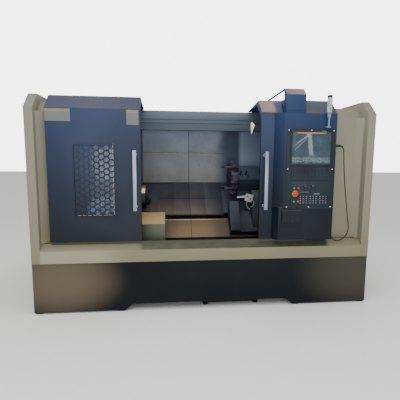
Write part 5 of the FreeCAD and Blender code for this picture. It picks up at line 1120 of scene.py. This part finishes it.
# %% Hose holder, tailstock nose and work lamp
def tilted_plate(outline, centre, tilt, deep):
    """An outline in the X-Z plane, turned by its tilt and given a depth along Y."""
    a = math.radians(tilt)
    across, up = np.array(outline, float).T
    flat = np.column_stack([across * math.cos(a) - up * math.sin(a), across * math.sin(a) + up * math.cos(a)])
    points, faces = slab(flat, deep / 2)
    return points[:, [0, 2, 1]] + np.array(centre) / 1000, faces


def across_x(outline, x0, x1):
    """An outline in (Y, Z), in mm, given a width from x0 to x1."""
    points, faces = slab(outline, (x1 - x0) / 2, (x0 + x1) / 2)
    return points[:, [2, 0, 1]], faces


PLATE = [(-42, -38), (-38, -42), (38, -42), (42, -38), (42, 38), (38, 42), (-38, 42), (-42, 38)]
NOSE = [(-262, 868), (-208, 992), (-194, 1001), (-164, 1001), (-150, 992), (-136, 946)]
SHADE = [(-17, 62), (-8, 68), (24, 34), (18, 22), (-2, -30), (-10, -62), (-14, -30)]
EYE = [(0, 1), (7, 1), (8.5, 0), (8.5, -2), (0, -2)]
holder = joined(tilted_plate(PLATE, (512, -270, 1046), -14, 5),
                tilted_plate([(-108, -9), (0, -13), (0, 13), (-108, 7)], (482, -267, 1062), 4, 5),
                boxes((540, 541.8, -269, -200, 1034, 1062)))
piece("hose_holder", holder, pale_metal, "quill", edge=0.8)
eyes = repeated(turned(EYE, "y", 20), [(497, -273, 1060), (526, -273, 1036)])
piece("hose_holder_eyes", eyes, black_steel, "quill")
piece("tailstock_nose", across_x(NOSE, 302, 408), tail_navy, "tailstock", edge=3.0)
lamp_body = tilted_plate(SHADE, (552, -195, 1816), 0, 40)
lamp_arm = boxes((540, 552, -201, -177, 1848, 1881), (532, 566, -199, -175, 1879, 1884))
piece("work_lamp_body", lamp_body, lamp_white, replaces="work_lamp", edge=2.5)
piece("work_lamp_arm", lamp_arm, black_steel, edge=1.0)
print("corners: nose", len(NOSE), "lamp", len(SHADE))

# %% [markdown]
# ## Signal lamp
#
# Three translucent lenses are stacked on a thin mast. Each lens is a ribbed tube that spreads the light of a
# bulb; unlit, it looks milky. A dark cap closes the stack, and the mast widens into the socket by a cone.
# All of it is turned about one upright line.

# %% Lamp on its mast
MAST, LENS_FOOT, LENS_PITCH = (1117, -851), 1912, 44
BULB = [(0, 0), (7, 0), (7, 8), (9, 16), (9, 28), (6, 34), (0, 36)]
SOCKET = [(0, -126), (9, -126), (9, -62), (10, -60), (18, -40), (18, -14), (20, -12), (20, -4), (18, -2),
          (18, 0), (0, 0)]
FOOT = [(0, 0), (18, 0), (18, 6), (12, 10), (12, 16), (9, 18), (0, 18)]
LAMP_CAP = [(0, 26), (14, 25.4), (21, 22.6), (23.8, 18), (24, 15), (24, 0), (0, 0)]
ribs = [point for ring in range(7) for point in ((22.6, 7 + ring * 5), (23.6, 9.5 + ring * 5))]
lens_profile = [(0, 0), (22.6, 0), (23.6, 1.5), (23.6, 5), *ribs, (23.6, 45.5), (22.6, 47), (0, 47)]
lens_clear = Finish("lens_clear", "lamp_plastic", Coat_Weight=0.4, Roughness=0.2, Specular_IOR_Level=0.4)
milk = lens_clear.clouds(18.0, 3.0)
upper = (lens_clear.z * 48.0).step(92.5, 93.2) * 0.4
lens_clear.set(Base_Color=lens_clear.mix(milk.step(0.35, 0.7), (150, 172, 182), (196, 208, 212)),
               Alpha=0.72 + milk * 0.2 + upper * 0.1)
stack = [(*MAST, LENS_FOOT + LENS_PITCH * k) for k in range(3)]
piece("lamp_lenses", repeated(turned(lens_profile, "z", 40), stack), lens_clear)
piece("lamp_bulbs", repeated(turned(BULB, "z", 16, (0, 0, 2)), stack), mast_plastic)
mast = joined(turned(SOCKET, "z", 32, (*MAST, LENS_FOOT + 2)), turned(FOOT, "z", 32, (*MAST, 1770)),
              boxes((1101, 1133, -851, -815.2, 1771, 1784)))
piece("lamp_mast", mast, mast_plastic, replaces="signal_lamp", smooth=30)
stack_top = LENS_FOOT + 3 * LENS_PITCH
piece("lamp_cap", turned(LAMP_CAP, "z", 40, (*MAST, stack_top)), black_plastic)
print("lens rings:", len(lens_profile), "lamp top at", stack_top + LAMP_CAP[0][1])

# %% [markdown]
# ## Where the lead leaves
#
# A lead would break at the edge of a housing if nothing held it there. A gland nut grips it, and a tapered
# rubber sleeve lets it bend in a large radius. The sleeve follows the lead's own first points. At the other
# end the lead enters an elbow, and a thin conduit beside it is wrapped in a pale spiral guard.

# %% Strain reliefs and spiral guard
def sleeve(route, radii, around=20):
    """A tube along a route: ring i stands at route[i], square to the run there, with radius radii[i]."""
    ahead = np.gradient(route, axis=0)
    ahead /= np.linalg.norm(ahead, axis=1, keepdims=True)
    side = np.cross(ahead, (0.0, 1.0, 0.05))
    side /= np.linalg.norm(side, axis=1, keepdims=True)
    lift = np.cross(ahead, side)
    angle = np.linspace(0, 2 * np.pi, around, endpoint=False)
    ring = np.cos(angle)[None, :, None] * side[:, None] + np.sin(angle)[None, :, None] * lift[:, None]
    points = route[:, None] + (np.zeros(len(route)) + radii)[:, None, None] * ring
    return points.reshape(-1, 3), grid_faces(len(route), around)


def along_lead(reach, count):
    """Even steps along the lead's start; span i is a parabola between the middles of two of its runs."""
    route = lead_route[:7]
    middles = (route[1:-1] + route[2:]) / 2
    starts = np.vstack([route[:1], middles[:-1]])
    t = np.linspace(0, 1, 24)[None, :, None]
    spans = (1 - t) ** 2 * starts[:, None] + 2 * t * (1 - t) * route[1:-1, None] + t ** 2 * middles[:, None]
    points = spans.reshape(-1, 3)
    far = np.concatenate([[0], np.cumsum(np.linalg.norm(np.diff(points, axis=0), axis=1))])
    return np.column_stack([np.interp(np.linspace(0, reach, count), far, points[:, k]) for k in range(3)])


def tapered(thick, drop, rib, count):
    """Radii that fall from thick by drop, with every other ring swelled by rib."""
    return thick - drop * np.linspace(0, 1, count) + rib * (np.arange(count) % 2)


NUT = [(11.2, 0), (16, 0), (16, 10), (14.5, 12), (11.2, 12), (11.2, 0)]
BARREL = [(4.8, 12), (12.4, 12), (12.4, 44), (11.4, 50.6), (10.6, 51.2), (4.8, 51.2)]
ELBOW_NUT = [(4.8, 0), (12, 0), (12, 7), (10, 9), (4.8, 9), (4.8, 0)]
gland = (1218.2, -769, 1608)
lower_line = lead_end - np.linspace(0, 0.036, 9)[:, None] * (0.0, 0.0, 1.0)
climb = np.linspace(0, 1, 44)[:, None]
CONDUIT_FOOT, CONDUIT_WAY, CONDUIT_BOW = (1.232, -0.716, 0.866), (0.008, 0.0, 0.112), (0.016, 0, 0)
conduit = CONDUIT_FOOT + climb * CONDUIT_WAY + np.sin(climb * np.pi) * CONDUIT_BOW
guard_steps, guard_turns = 44 * 6, 11
turns = np.linspace(0, 2 * np.pi * guard_turns, guard_steps)
places = np.linspace(0, 43, guard_steps)
core = np.column_stack([np.interp(places, np.arange(44), axis) for axis in conduit.T])
spiral = core + 0.0058 * np.column_stack([np.cos(turns), np.sin(turns), turns * 0])
for name, shape, finish in (
        ("lead_sleeve", sleeve(along_lead(0.05, 12), tapered(0.0105, 0.0052, 0.0006, 12)), rubber),
        ("lead_end_sleeve", sleeve(lower_line, tapered(0.0088, 0.0036, 0.0005, 9)), rubber),
        ("conduit", sleeve(conduit, 0.0045, 14), rubber),
        ("spiral_guard", sleeve(spiral, 0.0021, 8), white_plastic),
        ("gland_barrel", turned(BARREL, "x", 28, gland), black_plastic)):
    piece(name, shape, finish)
piece("gland_nut", turned(NUT, "x", 6, gland), black_plastic, edge=0.6)
piece("elbow_nut", turned(ELBOW_NUT, "z", 6, (1229, -733, 832.5)), black_plastic, edge=0.5)
print("sleeves: 2, guard turns:", guard_turns)

# %% [markdown]
# ## Small things on the cabinet
#
# Screws hold the side sheet, and dark joints cross the roof duct and the cabinet's foot, where two sheets
# meet. A green tag sits on the front below the signal lamp, and the service box has a lid with a lip, a
# latch and two hinges.

# %% Cabinet details
FRONT_Y = -815
side_screw = turned([(0, 1.8), (3.6, 1.7), (5, 1.0), (5.4, 0), (5.4, -0.5), (0, -0.5)], "x", 12)
side_places = [(1218, -799, z) for z in (780, 1100, 1420, 1648, 1694, 1740, 1900)]
piece("cabinet_side_screws", repeated(side_screw, side_places), white_plastic)
for name, finish, edge, *spans in (
        ("lamp_tag", green_plastic, 0.4, (1064, 1112, -826.8, -824.8, 1737, 1745)),
        ("service_lid", cabinet_navy, 0.8, (712, 888, -831.2, -829.0, 868, 968),
         (712, 888, -833.2, -829.6, 868, 874)),
        ("service_latch", black_plastic, 0.8, (792, 808, -835, -831, 874, 898),
         (724, 744, -833, -829, 966, 974), (856, 876, -833, -829, 966, 974)),
        ("cabinet_seams", black_plastic, 0.3, (714, 903, FRONT_Y - 0.9, FRONT_Y, 1925, 1927),
         (704, 1214, FRONT_Y - 0.8, FRONT_Y, 712, 715))):
    piece(name, boxes(*spans), finish, edge=edge)
print("side screws:", len(side_places))

# %% [markdown]
# ## Back and roof
#
# The rear is made of sheets screwed to a frame. Louvres are pressed out of a sheet in one stroke: each is a
# slanted lip that lets warm air out and keeps drops from falling in. They are one profile in Y and Z, given
# a width along X and repeated down the sheet. The roof has six sheets, a mist outlet with a wire mesh in
# its mouth, and four plates to lift the machine by.

# %% Sheets, louvres and screws behind
BACK = 545.0
LIP = [(BACK, 0), (BACK + 9, -13), (BACK + 10, -15), (BACK + 9, -15.5), (BACK, -16)]
sheets = [(-1558, -1184, 502, 1976), (-232, 340, 502, 1976), (348, 940, 502, 1976), (948, 1558, 502, 1976),
          (-1176, -240, 1822, 1976)]
louvres = [(x, 1.5, z) for x in (-40, 150, 1120, 1380) for z in np.arange(620, 881, 29)]
louvres += [(x, 1.5, z) for x in (1120, 1380) for z in np.arange(1660, 1891, 29)]
back_screw = turned([(0, -1.8), (3.8, -1.7), (5.6, -0.9), (6, 0.4), (0, 0.4)], "y", 10)
screw_places = [(x, BACK + 2, z) for x0, x1, z0, z1 in sheets for x in (x0 + 14, x1 - 14)
                for z in np.linspace(z0 + 16, z1 - 16, 2 if z1 - z0 < 300 else 5)]
rear = boxes(*[(x0, x1, BACK - 0.5, BACK + 2, z0, z1) for x0, x1, z0, z1 in sheets])
piece("rear_sheets", rear, right_cream, edge=0.8)
piece("rear_louvres", repeated(across_x(LIP, -85, 85), louvres), right_cream, edge=0.7)
piece("rear_screws", repeated(back_screw, screw_places), black_steel)
print("louvres:", len(louvres), "screws behind:", len(screw_places))

# %% Roof
ROOF = 1990
FLANGE = [(50, 0), (92, 0), (93, 2), (92, 4), (62, 4.5), (60, 8), (60, 46), (61.5, 48), (60, 50), (56, 50),
          (54, 46), (54, 6), (50, 4), (50, 0)]
outlet_x, outlet_y, mouth = 800, 370, 54
roof = [(x0, x1, y0, y1, ROOF - 2, ROOF) for x0, x1 in ((-1560, -540), (-532, 520), (528, 1560))
        for y0, y1 in ((-92, 222), (230, 537))]
piece("roof_sheets", boxes(*roof), right_cream, edge=0.8)
piece("mist_outlet", turned(FLANGE, "z", 56, (outlet_x, outlet_y, ROOF - 0.2)), case_paint)
offsets = np.arange(-48, 49, 12)
wires = [(outlet_x + a - 1, outlet_x + a + 1, outlet_y - half, outlet_y + half, ROOF + 22, ROOF + 24)
         for a, half in zip(offsets, np.sqrt(mouth ** 2 - offsets ** 2))]
wires += [(outlet_x - half, outlet_x + half, outlet_y + a - 1, outlet_y + a + 1, ROOF + 24, ROOF + 26)
          for a, half in zip(offsets, np.sqrt(mouth ** 2 - offsets ** 2))]
piece("mist_outlet_wires", boxes(*wires), tab_metal)
roof_screw = turned([(0, 1.8), (3.8, 1.7), (5.6, 0.9), (6, -0.4), (0, -0.4)], "z", 10)
roof_places = [(x, y, ROOF) for x in (-1546, -1050, -554, -518, 0, 506, 542, 1050, 1546)
               for y in (-78, 208, 244, 523)]
flange_round = round_line(78, np.arange(0, 360, 60), 0, (0, 0))[:, [1, 2, 0]]
flange_places = flange_round + (outlet_x, outlet_y, ROOF + 4)
piece("roof_screws", repeated(roof_screw, [*roof_places, *flange_places]), black_steel)
eye_places = [(x, y, ROOF) for x in (-1400, 1400) for y in (0, 440)]
eye = across_x([(-16, 0), (16, 0), (16, 22), (9, 31), (-9, 31), (-16, 22)], -3, 3)
eye_hole = turned([(0, -3.6), (7.5, -3.6), (7.5, 3.6), (0, 3.6)], "x", 20, (0, 0, 20))
piece("lifting_plates", repeated(eye, eye_places), case_paint, edge=0.8)
piece("lifting_plate_holes", repeated(eye_hole, eye_places), black_steel)
print("roof sheets:", len(roof), "lifting plates:", len(eye_places))

# %% [markdown]
# ## Electric cabinet
#
# The cabinet behind holds the drives. Its door has a raised rim and breathes through a filter at the foot
# and one at the top; a plate on the cabinet's side passes the cables.

# %% Filters, door rim and glands
CASE_Y, CASE_SIDE = 857.0, -250
GLAND = [(0, 0), (16, 0), (16, 9), (13, 11), (13, 17), (10, 24), (0, 24)]


def filter_grille(x0, x1, z0, z1, y=CASE_Y):
    """A frame and slats tilted to keep drops out."""
    slat = across_x([(y, 0), (y + 6, -6), (y + 7, -6.5), (y + 6, -8), (y, -3)], x0 + 8, x1 - 8)
    slats = repeated(slat, [(0, 0, z) for z in np.arange(z0 + 18, z1 - 6, 12)])
    return joined(frame_of(x0, x1, z0, z1, 8, y, y + 7), slats)


glands = [(CASE_SIDE, y, z) for y in (620, 680, 740) for z in (660, 720)]
filters = joined(filter_grille(-1060, -900, 640, 800), filter_grille(-520, -360, 1570, 1730))
piece("case_filters", filters, black_plastic, "electric_door", edge=0.8)
rim = frame_of(-1150, -266, 576, 1794, 5, CASE_Y, CASE_Y + 1.6)
piece("case_door_rim", rim, case_paint, "electric_door", edge=0.6)
piece("case_glands", repeated(turned(GLAND, "x", 18), glands), black_plastic)
piece("case_gland_plate", boxes((CASE_SIDE, CASE_SIDE + 3, 590, 770, 625, 755)), tab_metal, edge=0.8)
print("filters: 2, glands:", len(glands))

# %% [markdown]
# ## Drive side, screw and tank
#
# Behind the covers lie parts that only show when a cover is off. The feed screw is a rolled ball screw: its
# surface is a grid of angle and length, whose radius falls in a groove that advances one pitch each turn.

# %% Feed screw
def threaded(x0, x1, radius, depth, pitch, line, around=18, per_pitch=6):
    """r(x, a) = radius - depth (1 - |sin(pi x / pitch - a / 2)|) squared: a round groove of one start."""
    rows = int((x1 - x0) / pitch * per_pitch) + 1
    x = np.linspace(x0, x1, rows)[:, None]
    a = np.linspace(0, 2 * np.pi, around, endpoint=False)[None, :]
    r = radius - depth * (1 - np.abs(np.sin(np.pi * x / pitch - a / 2))) ** 2
    points = np.stack([np.broadcast_to(x, r.shape), line[0] + r * np.cos(a), line[1] + r * np.sin(a)], -1)
    return points.reshape(-1, 3) / 1000, grid_faces(rows, around)


screw_left, screw_right, pitch = -639.7, 1219.7, 12.0
ball_screw = threaded(screw_left, screw_right, 14.9, 3.2, pitch, (136.85, 964.4))
piece("ball_screw", ball_screw, ground, "feed_screw", "feed_screw", smooth=60)
print("turns of the screw:", round((screw_right - screw_left) / pitch, 1))

# %% Motor and tank
grip_line = np.array([(160, -711, 232), (160, -728, 232), (166, -736, 232), (176, -738, 232),
                      (314, -738, 232), (324, -736, 232), (330, -728, 232), (330, -711, 232)]) / 1000
plug = turned([(0, 9), (10, 9), (10, 3), (16, 3), (16, 0), (0, 0)], "y", 6, (420, -710.7, 120))
fins = np.arange(-1196, -960, 16)
piece("motor_fins", boxes(*[(x, x + 3, -568, -282, 500, 773) for x in fins]), iron, edge=0.8)
terminal_box = boxes((-930, -830, -480, -370, 770, 800), (-934, -826, -484, -366, 800, 806))
piece("motor_terminal_box", terminal_box, iron, edge=2.0)
piece("tank_handle", sleeve(grip_line, 0.006, 14), black_steel)
gauge = boxes((60, 82, -715, -710.5, 120, 250), (66, 76, -716.4, -714.6, 132, 238))
piece("tank_gauge", gauge, black_plastic, edge=1.0)
piece("tank_plug", plug, ground, edge=0.6)

# %% [markdown]
# ## The floor
#
# A plain pale floor, with hardly any texture, so that only the machine's shadow shows on it.

# %% Lay the floor
FLOOR_HALF, FLOOR_Z = 40, -0.0005
floor_mesh = bpy.data.meshes.new("floor")
floor_corners = [(x * FLOOR_HALF, y * FLOOR_HALF, FLOOR_Z) for x, y in ((-1, -1), (1, -1), (1, 1), (-1, 1))]
floor_mesh.from_pydata(floor_corners, [], [(0, 1, 2, 3)])
floor = bpy.data.objects.new("floor", floor_mesh)
scene.collection.objects.link(floor)
cover(floor, coated("floor_screed", None, (246, 246, 246), (238, 238, 237), 40, 0.7, 0.05))
print("floor laid")
